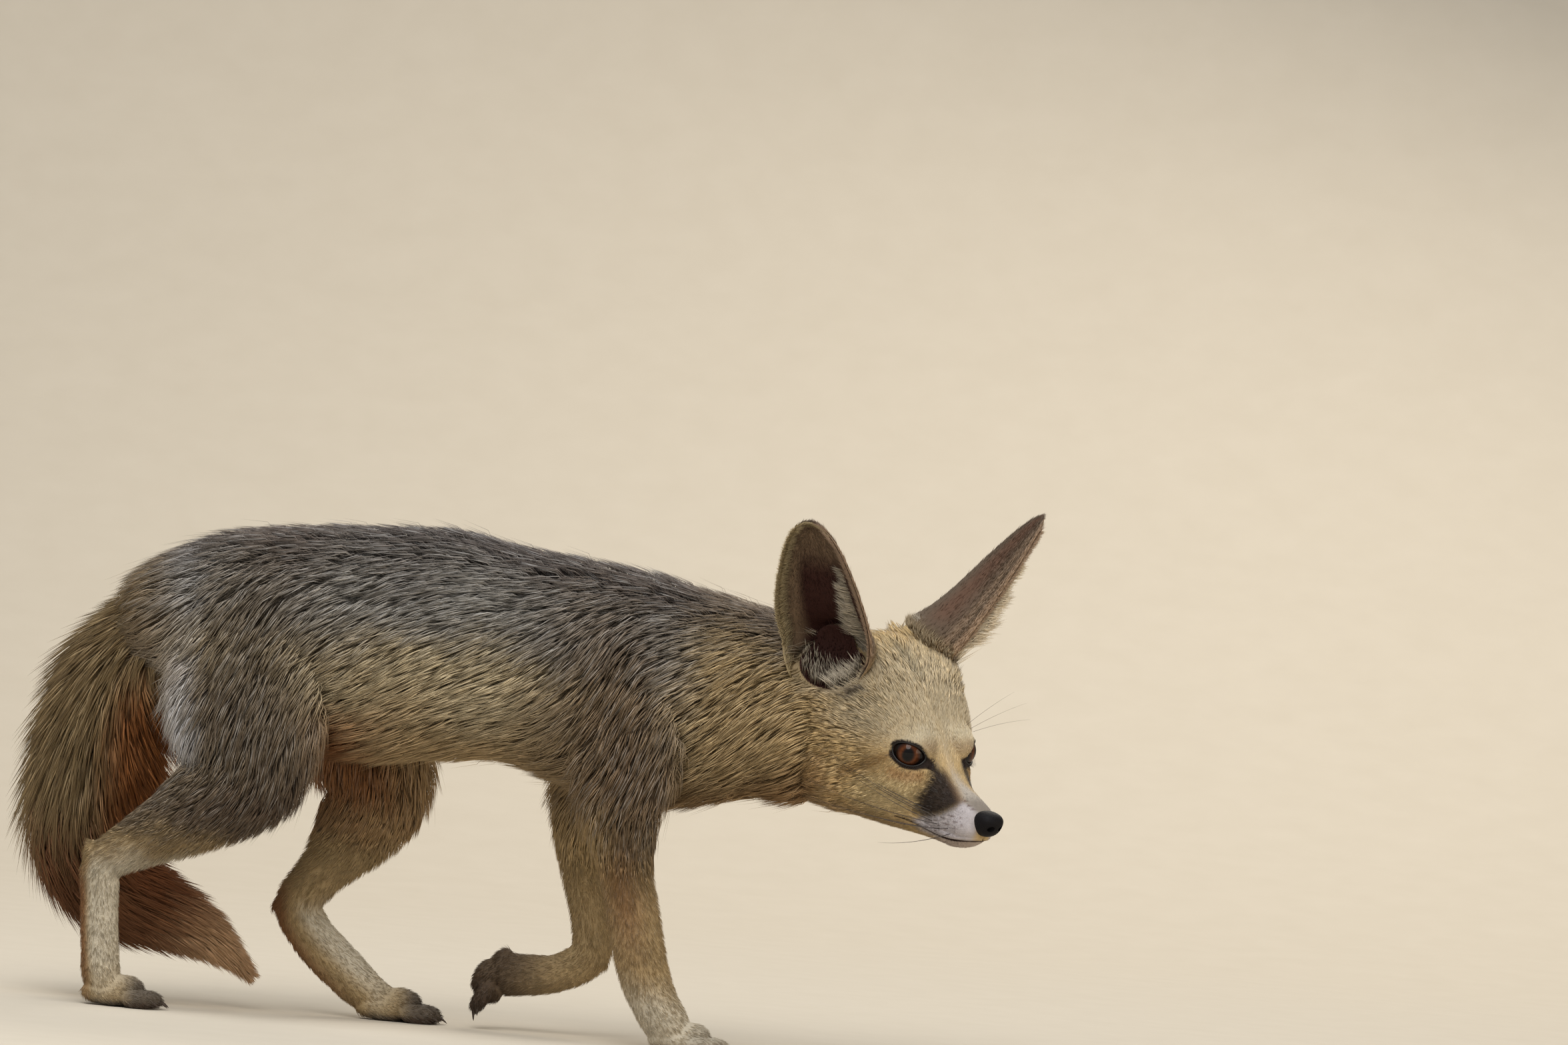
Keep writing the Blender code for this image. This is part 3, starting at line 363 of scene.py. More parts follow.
CHEEK = srgb(224, 202, 156)
STREAK = srgb(150, 118, 74)
BROW = srgb(206, 194, 168)
BROW_DARK = srgb(120, 88, 60)
TEAR_RED = srgb(88, 52, 34)
IRIS = srgb(96, 50, 18)
IRIS_EDGE = srgb(46, 22, 10)
PUPIL = srgb(6, 4, 4)
EYE_CORNER = srgb(34, 22, 18)
GROIN = srgb(150, 96, 54)
PALE_FLANK = srgb(202, 188, 158)
WITHERS = srgb(112, 98, 86)
JAW = srgb(172, 146, 108)
RUST = srgb(158, 98, 52)
TEAR = srgb(38, 26, 21)
MUZZLE = srgb(196, 188, 190)
BRIDGE = srgb(186, 176, 164)
BRIDGE_GREY = srgb(128, 118, 108)
CHIN = srgb(182, 166, 156)
MOUTH_DARK = srgb(58, 42, 36)
EAR_BACK = srgb(98, 83, 68)
EAR_WARM = srgb(110, 70, 52)
EAR_ROOT_TONE = srgb(142, 126, 100)
EAR_RIM = srgb(178, 160, 124)
EAR_HOLLOW = srgb(58, 28, 22)
EAR_TOP = srgb(134, 112, 90)
# A band of painted shadow on the ear's inner face, between the fringe's roots and the buff margin.
EAR_SHADOW_BAND = srgb(66, 42, 32)
EAR_FRONT = srgb(168, 142, 118)
EAR_FRINGE = srgb(206, 194, 174)
EAR_DARK = srgb(60, 50, 46)
TAIL_GREY = srgb(150, 130, 98)
TAIL_RUST = srgb(146, 92, 50)
TAIL_LOW = srgb(112, 70, 44)
TAIL_TIP = srgb(196, 162, 128)


def turns(count):
    """That many angles, evenly round a circle."""
    return [2 * math.pi * k / count for k in range(count)]


def head_turn():
    return (
        Matrix.Rotation(HEAD_YAW, 3, "Z")
        @ Matrix.Rotation(HEAD_PITCH, 3, "Y")
        @ Matrix.Rotation(HEAD_ROLL, 3, "X")
    )


def head_way(forward, side, up):
    return head_turn() @ Vector((forward, side, up))


def head_point(forward, side, up):
    return EYES_MIDDLE + head_way(forward, side, up)


def eye_frame(hand):
    """The middle of an eye and its ways outward, to the inner corner and up."""
    forward, side, up = EYE_CENTRE
    centre = head_point(forward, hand * side, up)
    out = head_way(math.cos(EYE_TURN), hand * math.sin(EYE_TURN), 0.06).normalized()
    inner = head_way(math.sin(EYE_TURN), -hand * math.cos(EYE_TURN), -math.tan(EYE_SLANT)).normalized()
    inner = (inner - out * inner.dot(out)).normalized()
    high = out.cross(inner) * hand
    return centre, out, inner, high


def plan_shift():
    """What carries the plan, in metres, to the frame, read from where the eyes are."""
    low = [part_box(name)[0] for name in ("eye_right", "eye_left")]
    high = [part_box(name)[1] for name in ("eye_right", "eye_left")]
    middle = sum((Vector(c) for c in (*low, *high)), Vector()) / 4
    planned = (eye_frame(-1)[0] + eye_frame(1)[0]) / 2
    return middle - planned * CM


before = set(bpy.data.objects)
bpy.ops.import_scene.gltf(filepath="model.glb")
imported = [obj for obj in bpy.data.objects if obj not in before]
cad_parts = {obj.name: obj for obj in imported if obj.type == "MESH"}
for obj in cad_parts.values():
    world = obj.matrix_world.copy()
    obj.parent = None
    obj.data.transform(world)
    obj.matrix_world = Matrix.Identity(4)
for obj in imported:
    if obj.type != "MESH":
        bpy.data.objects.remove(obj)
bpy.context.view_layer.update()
SHIFT = plan_shift()
SHOWN = bpy.context.scene.collection
HELPERS = bpy.data.collections.new("helpers")
SHOWN.children.link(HELPERS)


def object_of(name, bm, group):
    """A mesh object of a bmesh, which is used up, in a collection."""
    mesh = bpy.data.meshes.new(name)
    bm.to_mesh(mesh)
    bm.free()
    return linked(name, mesh, group)


def linked(name, data, group):
    made = bpy.data.objects.new(name, data)
    group.objects.link(made)
    return made


def new_object(name, bm):
    """A mesh object in the frame from a bmesh in the plan's centimetres."""
    bmesh.ops.recalc_face_normals(bm, faces=bm.faces)
    bmesh.ops.transform(bm, matrix=Matrix.Translation(SHIFT) @ Matrix.Scale(CM, 4), verts=bm.verts)
    return object_of(name, bm, HELPERS)


def refined(rows, steps):
    """Rows between the given ones, on a Catmull-Rom curve through them."""
    out = []
    for i in range(len(rows) - 1):
        a, b = rows[max(i - 1, 0)], rows[i]
        c, d = rows[i + 1], rows[min(i + 2, len(rows) - 1)]
        for k in range(steps):
            t = k / steps
            row = []
            for p, q, r, s in zip(a, b, c, d):
                bend = (2 * p - 5 * q + 4 * r - s) * t**2 + (3 * q - p - 3 * r + s) * t**3
                row.append(0.5 * (2 * q + (r - p) * t + bend))
            out.append(tuple(row))
    out.append(tuple(rows[-1]))
    return out


def rounded_power(value, power):
    return math.copysign(abs(value) ** power, value)


def skin_rings(name, rings):
    """A closed loft through rings of points, with a point at the middle of each end ring."""
    bm = bmesh.new()
    loops = [[bm.verts.new(p) for p in ring] for ring in rings]
    for low, high in zip(loops, loops[1:]):
        for k in range(len(low)):
            after = (k + 1) % len(low)
            bm.faces.new((low[k], low[after], high[after], high[k]))
    for loop in (loops[0], loops[-1]):
        middle = bm.verts.new(sum((v.co for v in loop), Vector()) / len(loop))
        for k in range(len(loop)):
            bm.faces.new((loop[k], loop[(k + 1) % len(loop)], middle))
    return new_object(name, bm)


def section(centre, side, up, half_width, reach, squareness):
    """One ring of a loft, a superellipse."""
    ring = []
    for angle in turns(RING_POINTS):
        across = half_width * rounded_power(math.cos(angle), 2 / squareness)
        lift = reach * rounded_power(math.sin(angle), 2 / squareness)
        ring.append(centre + side * across + up * lift)
    return ring


def trunk(rows):
    side, high = Vector((0, 1, 0)), Vector((0, 0, 1))
    rings = []
    for x, y, top, under, half_width, coat in refined(rows, 4):
        centre, half = Vector((x, y, (top + under) / 2)), (top - under) / 2 - coat
        rings.append(section(centre, side, high, half_width - coat, half, TRUNK_SQUARENESS))
    return skin_rings("trunk", rings)


def limb(name, rows):
    """A tube round a bent path, with its own radius fore and aft and sideways."""
    rows = refined(rows, 4)
    rings = []
    for i, (x, y, z, deep, wide, coat) in enumerate(rows):
        before, after = rows[max(i - 1, 0)], rows[min(i + 1, len(rows) - 1)]
        along = (Vector(after[:3]) - Vector(before[:3])).normalized()
        side = (Vector((0, 1, 0)) - along * along.y).normalized()
        rings.append(section(Vector((x, y, z)), side, along.cross(side), wide - coat, deep - coat, 2.0))
    return skin_rings(name, rings)


def skull():
    side, high = head_way(0, 1, 0), head_way(0, 0, 1)
    rings = []
    for forward, top, under, half_width, squareness, coat in refined(HEAD, 5):
        centre = head_point(forward, 0, (top + under) / 2)
        rings.append(section(centre, side, high, half_width - coat, (top - under) / 2 - coat, squareness))
    return skin_rings("skull", rings)


def ellipsoid(name, centre, radii, turn, segments=32):
    bm = bmesh.new()
    bmesh.ops.create_uvsphere(bm, u_segments=segments, v_segments=segments // 2, radius=1.0)
    place = Matrix.Translation(centre) @ turn.to_4x4() @ Matrix.Diagonal((*radii, 1.0))
    bmesh.ops.transform(bm, matrix=place, verts=bm.verts)
    return new_object(name, bm)


def head_masses():
    made = []
    for forward, side, up, *radii, coat in HEAD_MASSES:
        for hand in HANDS:
            sunk = [r - coat for r in radii]
            made.append(ellipsoid("mass", head_point(forward, hand * side, up), sunk, head_turn()))
    return made


def paw_frame(name):
    """The middle of a paw's pad, its turn and its size."""
    middle, yaw, dip, size = PAWS[name]
    turn = Matrix.Rotation(math.radians(yaw), 3, "Z") @ Matrix.Rotation(math.radians(dip), 3, "Y")
    return Vector(middle), turn, size


def sunk_end(row):
    """A leg's row with its skin sunk deeper, for an end that lies inside another form."""
    return (*row[:5], row[5] + END_SUNK)


def paw(name):
    """A pad with four toes in front of it, its heel and instep, and the lower end of the leg."""
    middle, turn, size = paw_frame(name)
    made = [ellipsoid("pad", middle, [r * size - PAW_COAT for r in PAD_RADII], turn)]
    for forward, side in TOE_PLACES:
        centre = middle + turn @ Vector((forward * size, side * size, -TOE_DROP * size))
        made.append(ellipsoid("toe", centre, [r * size - PAW_COAT / 3 for r in TOE_RADII], turn))
    masses = [(INSTEP_PLACE, INSTEP_RADII), (HEEL_PLACE, HEEL_RADII)]
    if name == LIFTED_PAW:
        masses.append((PALM_PLACE, PALM_RADII))
    for place, radii in masses:
        centre = middle + turn @ Vector(place) * size
        made.append(ellipsoid("mass", centre, [r * size - PAW_COAT for r in radii], turn))
    first, *rest = LEGS[name.replace("paw", "leg")][-4:]
    last = (*(middle + turn @ Vector(ANKLE_END) * size), ANKLE_RADIUS * size, ANKLE_RADIUS * size, PAW_COAT)
    made.append(limb("ankle", [sunk_end(first), *rest, last]))
    return made


def body_forms():
    """Every form of the body but the paws, still apart: trunk, limbs and head."""
    level = Matrix.Identity(3)
    forms = [trunk(TRUNK), skull(), *head_masses()]
    forms.extend(ellipsoid("knob", Vector(c), [r - PAW_COAT for r in radii], level) for c, radii in KNOBS)
    forms.extend(limb(name, [*rows[:-2], sunk_end(rows[-2])]) for name, rows in LEGS.items())
    return forms


def apply_modifiers(obj):
    """The object's mesh becomes the evaluated one, and its modifiers go."""
    graph = bpy.context.evaluated_depsgraph_get()
    made = bpy.data.meshes.new_from_object(obj.evaluated_get(graph))
    obj.modifiers.clear()
    obj.data = made


def joined(name, forms):
    """One object that holds the faces of all the forms, which are removed."""
    bm = bmesh.new()
    for form in forms:
        bm.from_mesh(form.data)
        bpy.data.objects.remove(form, do_unlink=True)
    return object_of(name, bm, HELPERS)


def fused(name, forms, voxel, smoothing):
    """The forms as one closed smooth surface."""
    whole = joined(name, forms)
    remesh = whole.modifiers.new("fuse", "REMESH")
    remesh.mode = "VOXEL"
    remesh.voxel_size = voxel * CM
    smooth = whole.modifiers.new("soften", "SMOOTH")
    smooth.factor = 0.5
    smooth.iterations = smoothing
    apply_modifiers(whole)
    return whole


def combine(obj, others, operation):
    """A Boolean of the object with other objects, applied, which are removed."""
    group = bpy.data.collections.new("operands")
    SHOWN.children.link(group)
    for other in others:
        HELPERS.objects.unlink(other)
        group.objects.link(other)
    boolean = obj.modifiers.new(operation.lower(), "BOOLEAN")
    boolean.operation = operation
    boolean.solver = "MANIFOLD"
    boolean.operand_type = "COLLECTION"
    boolean.collection = group
    apply_modifiers(obj)
    for other in others:
        bpy.data.objects.remove(other, do_unlink=True)
    bpy.data.collections.remove(group)


def half_space(forward, ahead):
    """A large block on one side of a plane across the head. The one ahead stops above the legs."""
    bm = bmesh.new()
    bmesh.ops.create_cube(bm, size=BLOCK)
    half = BLOCK / 2
    centre = head_point(forward + (half if ahead else -half), 0, half - HEAD_FLOOR if ahead else 0)
    bmesh.ops.transform(bm, matrix=Matrix.Translation(centre) @ head_turn().to_4x4(), verts=bm.verts)
    return new_object("half", bm)


def lid_line(hand, reach, count=48):
    """Points round the almond opening of the lids, on a sphere about the eye."""
    centre, out, inner, high = eye_frame(hand)
    points = []
    for angle in turns(count):
        across = LID_WIDTH * math.cos(angle)
        lift = LID_HEIGHT * rounded_power(math.sin(angle), 1.25)
        way = out * math.cos(across) * math.cos(lift) + inner * math.sin(across) + high * math.sin(lift)
        points.append(centre + way.normalized() * reach)
    return points


def tube(name, points, radius, sides=10):
    """A closed tube of that radius along a line of points."""
    rings = []
    side = None
    for i, point in enumerate(points):
        along = (points[min(i + 1, len(points) - 1)] - points[max(i - 1, 0)]).normalized()
        side = along.orthogonal() if side is None else side - along * side.dot(along)
        side.normalize()
        up = along.cross(side)
        reach = radius(i / (len(points) - 1)) if callable(radius) else radius
        rings.append([point + (side * math.cos(a) + up * math.sin(a)) * reach for a in turns(sides)])
    return skin_rings(name, rings)


def mouth_line(tree, hand, rise, lift):
    """Points along one side of the mouth, raised up the face and lifted off it."""
    points = []
    for forward, side, up in MOUTH:
        place, normal, _, _ = tree.find_nearest(SHIFT + head_point(forward, hand * side, up + rise) * CM)
        points.append((place - SHIFT) / CM + normal * lift)
    return [Vector(p) for p in refined(points, 5)]


def nose_form(name, by, segments):
    """The rounded wedge of the nose pad, grown by that much."""
    bm = bmesh.new()
    bmesh.ops.create_uvsphere(bm, u_segments=segments, v_segments=segments // 2, radius=1.0)
    for vert in bm.verts:
        forward, side, up = (rounded_power(c, NOSE_SQUARENESS) for c in vert.co)
        side *= 1.0 + NOSE_TAPER * up
        forward += NOSE_LEAN * up
        reach = [r + by for r in NOSE_RADII]
        vert.co = head_point(*[c + r * v for c, r, v in zip(NOSE_CENTRE, reach, (forward, side, up))])
    return new_object(name, bm)


def ear_frame(hand):
    """The root of an ear and its ways to the tip, to the opening and across."""
    root = head_point(EAR_ROOT[0], hand * EAR_ROOT[1], EAR_ROOT[2])
    tip = head_way(EAR_TIP_WAY[0], hand * EAR_TIP_WAY[1], EAR_TIP_WAY[2]).normalized()
    outward = math.radians(EAR_OPENINGS[hand])
    opening = head_way(math.cos(outward), hand * math.sin(outward), 0.0)
    opening = (opening - tip * opening.dot(tip)).normalized()
    return root, tip, opening, tip.cross(opening)


def pit_frame(hand):
    """The middle of the pit under an ear's hollow, and its turn."""
    root, tip, opening, side = ear_frame(hand)
    return root + tip * PIT_PLACE[0] + opening * PIT_PLACE[1], Matrix((opening, side, tip)).transposed()


def pit_gap(points, hand):
    """How far each point is outside an ear's pit, in centimetres."""
    centre, turn = pit_frame(hand)
    own = (points - np.array(centre)) @ np.array(turn) / np.array(PIT_RADII)
    return (np.linalg.norm(own, axis=1) - 1.0) * PIT_RADII[0]


def pit_places(hand, count, tree, chance):
    """Random places on the wall of an ear's pit, with their ways off it and from its middle."""
    centre, turn = pit_frame(hand)
    turn = np.array(turn)
    ball = unit(chance.normal(0, 1, (count, 3)))
    here = np.array(centre) + (ball * np.array(PIT_RADII)) @ turn.T
    out = -unit((ball / np.array(PIT_RADII)) @ turn.T)
    gaps = np.array([tree.find_nearest(SHIFT + Vector(p) * CM)[3] for p in here])
    there = gaps < ON_SURFACE * CM
    return here[there], out[there], ball[there]


def surface_tree(obj):
    """A search tree of an object's surface in the frame."""
    return BVHTree.FromPolygons([v.co for v in obj.data.vertices], [p.vertices for p in obj.data.polygons])


def eye_sphere(name, hand, by):
    """A ball about an eye, larger than it by that much."""
    return ellipsoid(name, eye_frame(hand)[0], [EYE_RADIUS + by] * 3, head_turn(), 64)


def make_skin():
    """One closed skin: a fine head with lids, lips and mouth, on a coarser body."""
    front = [row for row in TRUNK if row[0] >= NECK_START]
    head = fused("head_skin", [trunk(front), skull(), *head_masses()], HEAD_VOXEL, HEAD_SMOOTHING)
    combine(head, [half_space(HEAD_BACK, False)], "DIFFERENCE")
    tree = surface_tree(head)
    mouths = [mouth_line(tree, hand, 0.0, 0.0) for hand in HANDS]
    lips = [tube("lip", mouth_line(tree, hand, LIP_RISE, -LIP_SUNK), LIP_RADIUS) for hand in HANDS]
    lids = [eye_sphere("lids", hand, LID_THICKNESS) for hand in HANDS]
    combine(head, lips + lids, "UNION")
    cuts = [tube("mouth", line, MOUTH_DEPTH) for line in mouths]
    for hand in HANDS:
        cuts.append(eye_sphere("socket", hand, SOCKET_GAP))
        cuts.append(skin_rings("aperture", [lid_line(hand, EYE_RADIUS * r) for r in APERTURE_REACHES]))
        cuts.append(ellipsoid("pit", pit_frame(hand)[0], PIT_RADII, pit_frame(hand)[1], 48))
    cuts.append(nose_form("seat", -NOSE_SUNK, 32))
    combine(head, cuts, "DIFFERENCE")
    body = fused("skin", body_forms(), BODY_VOXEL, BODY_SMOOTHING)
    combine(body, [half_space(HEAD_BACK + HEAD_OVERLAP, True)], "DIFFERENCE")
    feet = [fused("paw", paw(name), PAW_VOXEL, PAW_SMOOTHING) for name in PAWS]
    combine(body, [head, *feet], "UNION")
    for vert in body.data.vertices:
        vert.co.z = max(vert.co.z, SHIFT.z + SOLE * CM)
    return body, mouths


def arrays_of(obj):
    """The vertices in the plan's centimetres, the normals and the triangles of an object's mesh."""
    mesh = obj.data
    mesh.calc_loop_triangles()
    points = np.empty(len(mesh.vertices) * 3, np.float32)
    mesh.vertices.foreach_get("co", points)
    points = (points.reshape(-1, 3).astype(float) - np.array(SHIFT)) / CM
    normals = np.empty(len(mesh.vertices) * 3, np.float32)
    mesh.vertex_normals.foreach_get("vector", normals)
    triangles = np.empty(len(mesh.loop_triangles) * 3, np.int32)
    mesh.loop_triangles.foreach_get("vertices", triangles)
    return points, normals.reshape(-1, 3).astype(float), triangles.reshape(-1, 3)


def unit(vectors):
    return vectors / np.maximum(np.linalg.norm(vectors, axis=-1, keepdims=True), 1e-9)


def ramp(values, low, high):
    """0 below low, 1 above high, and smooth between; low may be the greater."""
    share = np.clip((values - low) / (high - low), 0.0, 1.0)
    return share * share * (3.0 - 2.0 * share)


def hump(values, middle, width):
    return np.exp(-(((values - middle) / width) ** 2))


def mixed(base, other, weight):
    return base + (other - base) * np.asarray(weight)[:, None]


def painted(colour, *coats):
    """A colour with others laid over it in turn, each by its weight."""
    for other, weight in coats:
        colour = mixed(colour, other, weight)
    return colour


# Where a point lies on the body: each field gives the distance from its own surface and its own places.
def in_loft(across, up, top, under, wide, coat, beyond):
    """How far places are from a loft's skin, how high they are in its ring, and how far round it."""
    half = (top - under) / 2
    side = across / wide
    high = (up - (top + under) / 2) / half
    away = (np.hypot(side, high) - 1.0) * np.minimum(wide, half) + coat + beyond
    around = np.arctan2(side, -high) / (2 * np.pi) + 0.5
    return {"away": away, "coat": coat, "high": high, "around": around}


def on_trunk(points):
    rows = np.array(refined(TRUNK, 4))
    x = points[:, 0]
    y, top, under, wide, coat = (np.interp(x, rows[:, 0], rows[:, k]) for k in range(1, 6))
    beyond = np.maximum(0.0, np.maximum(rows[0, 0] - x, x - rows[-1, 0]))
    field = in_loft(points[:, 1] - y, points[:, 2], top, under, wide, coat, beyond)
    return {**field, "x": x, "along": (x + 15.0) / 38.0}


def on_path(points, rows):
    """The nearest place on a limb's bent line."""
    rows = np.array(refined(rows, 3))
    starts, ends = rows[:-1], rows[1:]
    count = len(points)
    best = {"away": np.full(count, np.inf), "coat": np.zeros(count), "along": np.zeros(count),
            "near": np.zeros((count, 3)), "way": np.zeros((count, 3))}
    for i, (start, end) in enumerate(zip(starts, ends)):
        step = end[:3] - start[:3]
        share = np.clip((points - start[:3]) @ step / (step @ step), 0.0, 1.0)
        near = start[:3] + share[:, None] * step
        radius = (start[3] + start[4]) / 2 * (1 - share) + (end[3] + end[4]) / 2 * share
        coat = start[5] * (1 - share) + end[5] * share
        away = np.linalg.norm(points - near, axis=1) - radius + coat
        closer = away < best["away"]
        way = np.broadcast_to(step / np.linalg.norm(step), near.shape)
        for key, values in zip(best, (away, coat, (i + share) / len(starts), near, way)):
            best[key][closer] = values[closer]
    from_line = points - best["near"]
    around = np.arctan2(from_line[:, 1], from_line[:, 0]) / (2 * np.pi) + 0.5
    return {**best, "ahead": from_line[:, 0], "around": around, "z": points[:, 2]}


def on_paw(points, name):
    middle, turn, size = paw_frame(name)
    own = (points - np.array(middle)) @ np.array(turn)
    scaled = (own - np.array((0.7 * size, 0.0, 0.0))) / (np.array((2.1, 1.3, 0.85)) * size)
    away = (np.linalg.norm(scaled, axis=1) - 1.0) * 0.85 * size
    around = np.arctan2(own[:, 1], own[:, 2]) / (2 * np.pi) + 0.5
    return {"away": away, "own": own, "along": own[:, 0] / 6.0 + 0.4, "around": around}


def on_head(points):
    """The head's own forward, side and up, and the distance from its loft."""
    own = (points - np.array(EYES_MIDDLE)) @ np.array(head_turn())
    rows = np.array(refined(HEAD, 5))
    forward = own[:, 0]
    top, under, wide, _, coat = (np.interp(forward, rows[:, 0], rows[:, k]) for k in range(1, 6))
    behind = np.maximum(0.0, rows[0, 0] - forward)
    field = in_loft(own[:, 1], own[:, 2], top, under, wide, coat, behind)
    return {**field, "own": own, "along": (forward + 9.5) / 15.0}


# How softly the coats of two parts run into each other, low on the legs and round the trunk.
SOFTNESS = (0.5, 1.0)


def shares_of(fields, z):
    """How much each field counts at each point, from how near its surface is."""
    away = np.stack([field["away"] for field in fields.values()])
    away -= away.min(axis=0)
    low, high = SOFTNESS
    weights = np.exp(-away / (low + (high - low) * ramp(z, 9.5, 13.5)))
    return weights / weights.sum(axis=0)


def mottle(points, scale, seed):
    """Smooth patches between -1 and 1, some scale centimetres across."""
    chance = np.random.default_rng(seed)
    total = np.zeros(len(points))
    for _ in range(9):
        way = unit(chance.normal(0, 1, 3)) * chance.uniform(0.6, 1.6) * 2 * np.pi / scale
        total += np.sin(points @ way + chance.uniform(0, 2 * np.pi))
    return total / 9 * 1.6


# What the looks of a part's hair are, in the order in which each of the next functions gives them: its lie,
# length, width, number for a square centimetre, colour, share of grizzled hair, and the coat's depth.
LOOKS = ("flow", "length", "width", "number", "colour", "grizzle", "coat")


def trunk_looks(points, field):
    """The hair on the trunk and neck."""
    high, x = field["high"], field["x"]
    flank = 1.0 - np.abs(np.clip(high, -1, 1))
    wave = 0.18 * mottle(points, 7.0, 3)
    drop = -0.1 - 0.5 * flank - 0.25 * ramp(x, 12, 18) + wave
    flow = np.stack([-np.ones_like(x), np.zeros_like(x), drop], axis=1)
    length = 2.2 + 0.4 * ramp(-high, 0.0, 0.8) + 0.2 * ramp(x, 12, 18) + 0.3 * ramp(-x, 9, 12)
    length = length * (1.0 - 0.45 * ramp(-x, 12.8, 14.6)) * (1.0 - 0.3 * ramp(x, 18.0, 21.0))
    patches = mottle(points, 5.0, 4)
    high = high + 0.12 * patches
    colour = np.tile(FLANK, (len(x), 1))
    colour = painted(
        colour,
        (PALE_FLANK, 0.75 * hump(x, 4.0, 5.5) * hump(high, -0.1, 0.35)),
        (BELLY, ramp(-high, 0.25, 0.8)),
        (GROIN, 0.9 * hump(x, -3.4, 2.2) * ramp(-high, 0.35, 0.8)),
        (SILVER, ramp(high, -0.1, 0.35)),
        (BACK, ramp(high, 0.35, 0.85)),
        (RIDGE, 0.75 * ramp(high, 0.88, 1.0) * ramp(x, 12, 6)),
        (SHOULDER, 0.8 * hump(x, 10.3, 3.4) * hump(high, -0.25, 0.6)),
    )
    neck = ramp(x, 12.0, 16.0)
    sides = np.tile(NECK, (len(x), 1))
    sides = painted(
        sides,
        (THROAT, ramp(-high, 0.4, 0.9)),
        (WITHERS, ramp(high, 0.35, 0.85)),
    )
    colour = colour + (sides - colour) * neck[:, None]
    colour = painted(
        colour,
        (TAIL_LOW, 0.5 * hump(x, 15.5, 1.8) * ramp(-high, 0.75, 1.0)),
        (RUMP, ramp(-x, 10.5, 13.0)),
    )
    colour = colour * (1.0 + 0.1 * mottle(points, 3.0, 6))[:, None]
    grizzle = ramp(high, -0.3, 0.3) * (1 - 0.55 * neck)
    full = np.ones_like(x)
    return flow, length, 0.064 * full, 37.0 * full, colour, grizzle, field["coat"]


def leg_looks(points, field, name):
    """The hair on one leg."""
    z, ahead = field["z"], field["ahead"]
    flow = field["way"] + np.array((-0.3, 0.0, -0.1)) * ramp(z, 8, 14)[:, None]
    length = np.clip(0.42 + 1.75 * ramp(z, 6.5, 15.0), 0.3, 2.2)
    width = 0.045 + 0.02 * ramp(z, 7, 13)
    number = 32.0 + 90.0 * ramp(z, 12.5, 8)
    grizzle = 0.35 + 0.5 * ramp(z, 9, 14)
    count = len(z)
    patches = mottle(points, 2.6, 8)
    z = z + 0.5 * patches
    colour = np.tile(LEG, (count, 1))
    if name == "hindleg_right":
        colour = painted(
            colour,
            (LEG_PALE, 0.95 * ramp(z, 8.6, 7.0) * ramp(ahead, -0.8, -0.3)),
            (LEG_RUST, 0.8 * ramp(z, 8, 6) * ramp(ahead, -0.45, -0.85)),
            (THIGH, ramp(z, 8.4, 10.0)),
            (KNEE, 0.85 * hump(z, 11.0, 2.2) * ramp(ahead, -1.5, 0.5)),
            (BACK, 0.35 * hump(z, 16.5, 3.5)),
            (THIGH_RIM, ramp(z, 12.0, 14.5) * ramp(ahead, -1.7, -2.9)),
        )
    elif name == "hindleg_left":
        colour = painted(
            colour,
            (LEG_PALE, ramp(z, 6.5, 4.5) * ramp(ahead, -0.3, 0.4)),
            (LEG_RUST, 0.8 * ramp(z, 7.5, 5) * ramp(ahead, -0.2, -0.9)),
            (KNEE, 0.35 * hump(z, 10.5, 1.5) * ramp(ahead, 0.6, -0.6)),
            (LEG_RUST, 0.35 * ramp(z, 8.0, 10.0)),
            (LEG_RUST, 0.8 * ramp(z, 10.5, 13.0) * ramp(ahead, 2.2, 0.0)),
        )
    elif name == "foreleg_right":
        colour = painted(
            colour,
            (LEG_DARK, 0.75 * ramp(z, 7.5, 11.0) * ramp(ahead, -1.2, 0.2)),
            (LEG_RUST, 0.55 * hump(z, 7.5, 3.0) * hump(ahead, -0.3, 0.9)),
            (SHOULDER, 0.9 * ramp(z, 10.5, 14.0)),
            (LEG_PALE, 0.85 * ramp(z, 4.2, 1.8)),
        )
    else:
        colour = painted(
            colour,
            (SHOULDER, 0.5 * ramp(z, 10.0, 13.0)),
            (PAW_DARK, 0.7 * ramp(points[:, 0], 9.0, 5.5) * ramp(z, 6.0, 4.5)),
        )
    if name.endswith("left"):
        grizzle = grizzle * 0.4
    colour = colour * (1.0 + 0.12 * mottle(points, 1.2, 9))[:, None]
    return flow, length, width, number, colour, grizzle, field["coat"]


def paw_looks(points, field, name):
    """The hair of a paw, which runs to the toes."""
    turn = np.array(paw_frame(name)[1])
    own = field["own"]
    flow = np.tile(turn @ np.array((1.0, 0.0, -0.25)), (len(own), 1))
    colour = np.tile(LEG_PALE if name == "forepaw_right" else LEG, (len(own), 1))
    if name == "forepaw_left":
        colour = np.tile(PAW_DARK, (len(own), 1))
    else:
        toes = 0.35 if name == "forepaw_right" else 0.9
        colour = painted(
            colour,
            (TOE, toes * ramp(own[:, 0], 0.0, 1.2)),
            (PAW_DARK, ramp(points[:, 2], 0.5, 0.15)),
        )
    full = np.ones(len(own))
    return flow, 0.36 * full, 0.042 * full, 170.0 * full, colour, 0.35 * full, PAW_COAT * full


# The length, width and number of the head's hair: how far forward, and the measures there.
HEAD_LENGTHS = (
    (-9.0, -7.0, -5.0, -3.0, -0.5, 1.5, 3.0, 4.6),
    (2.2, 1.9, 1.35, 0.95, 0.6, 0.42, 0.28, 0.15),
)
HEAD_WIDTHS = (-8.0, -4.0, 0.0, 3.0), (0.07, 0.06, 0.045, 0.03)
HEAD_NUMBERS = (-8.0, -5.0, -3.0, -1.0, 2.0), (36.0, 56.0, 102.0, 190.0, 330.0)


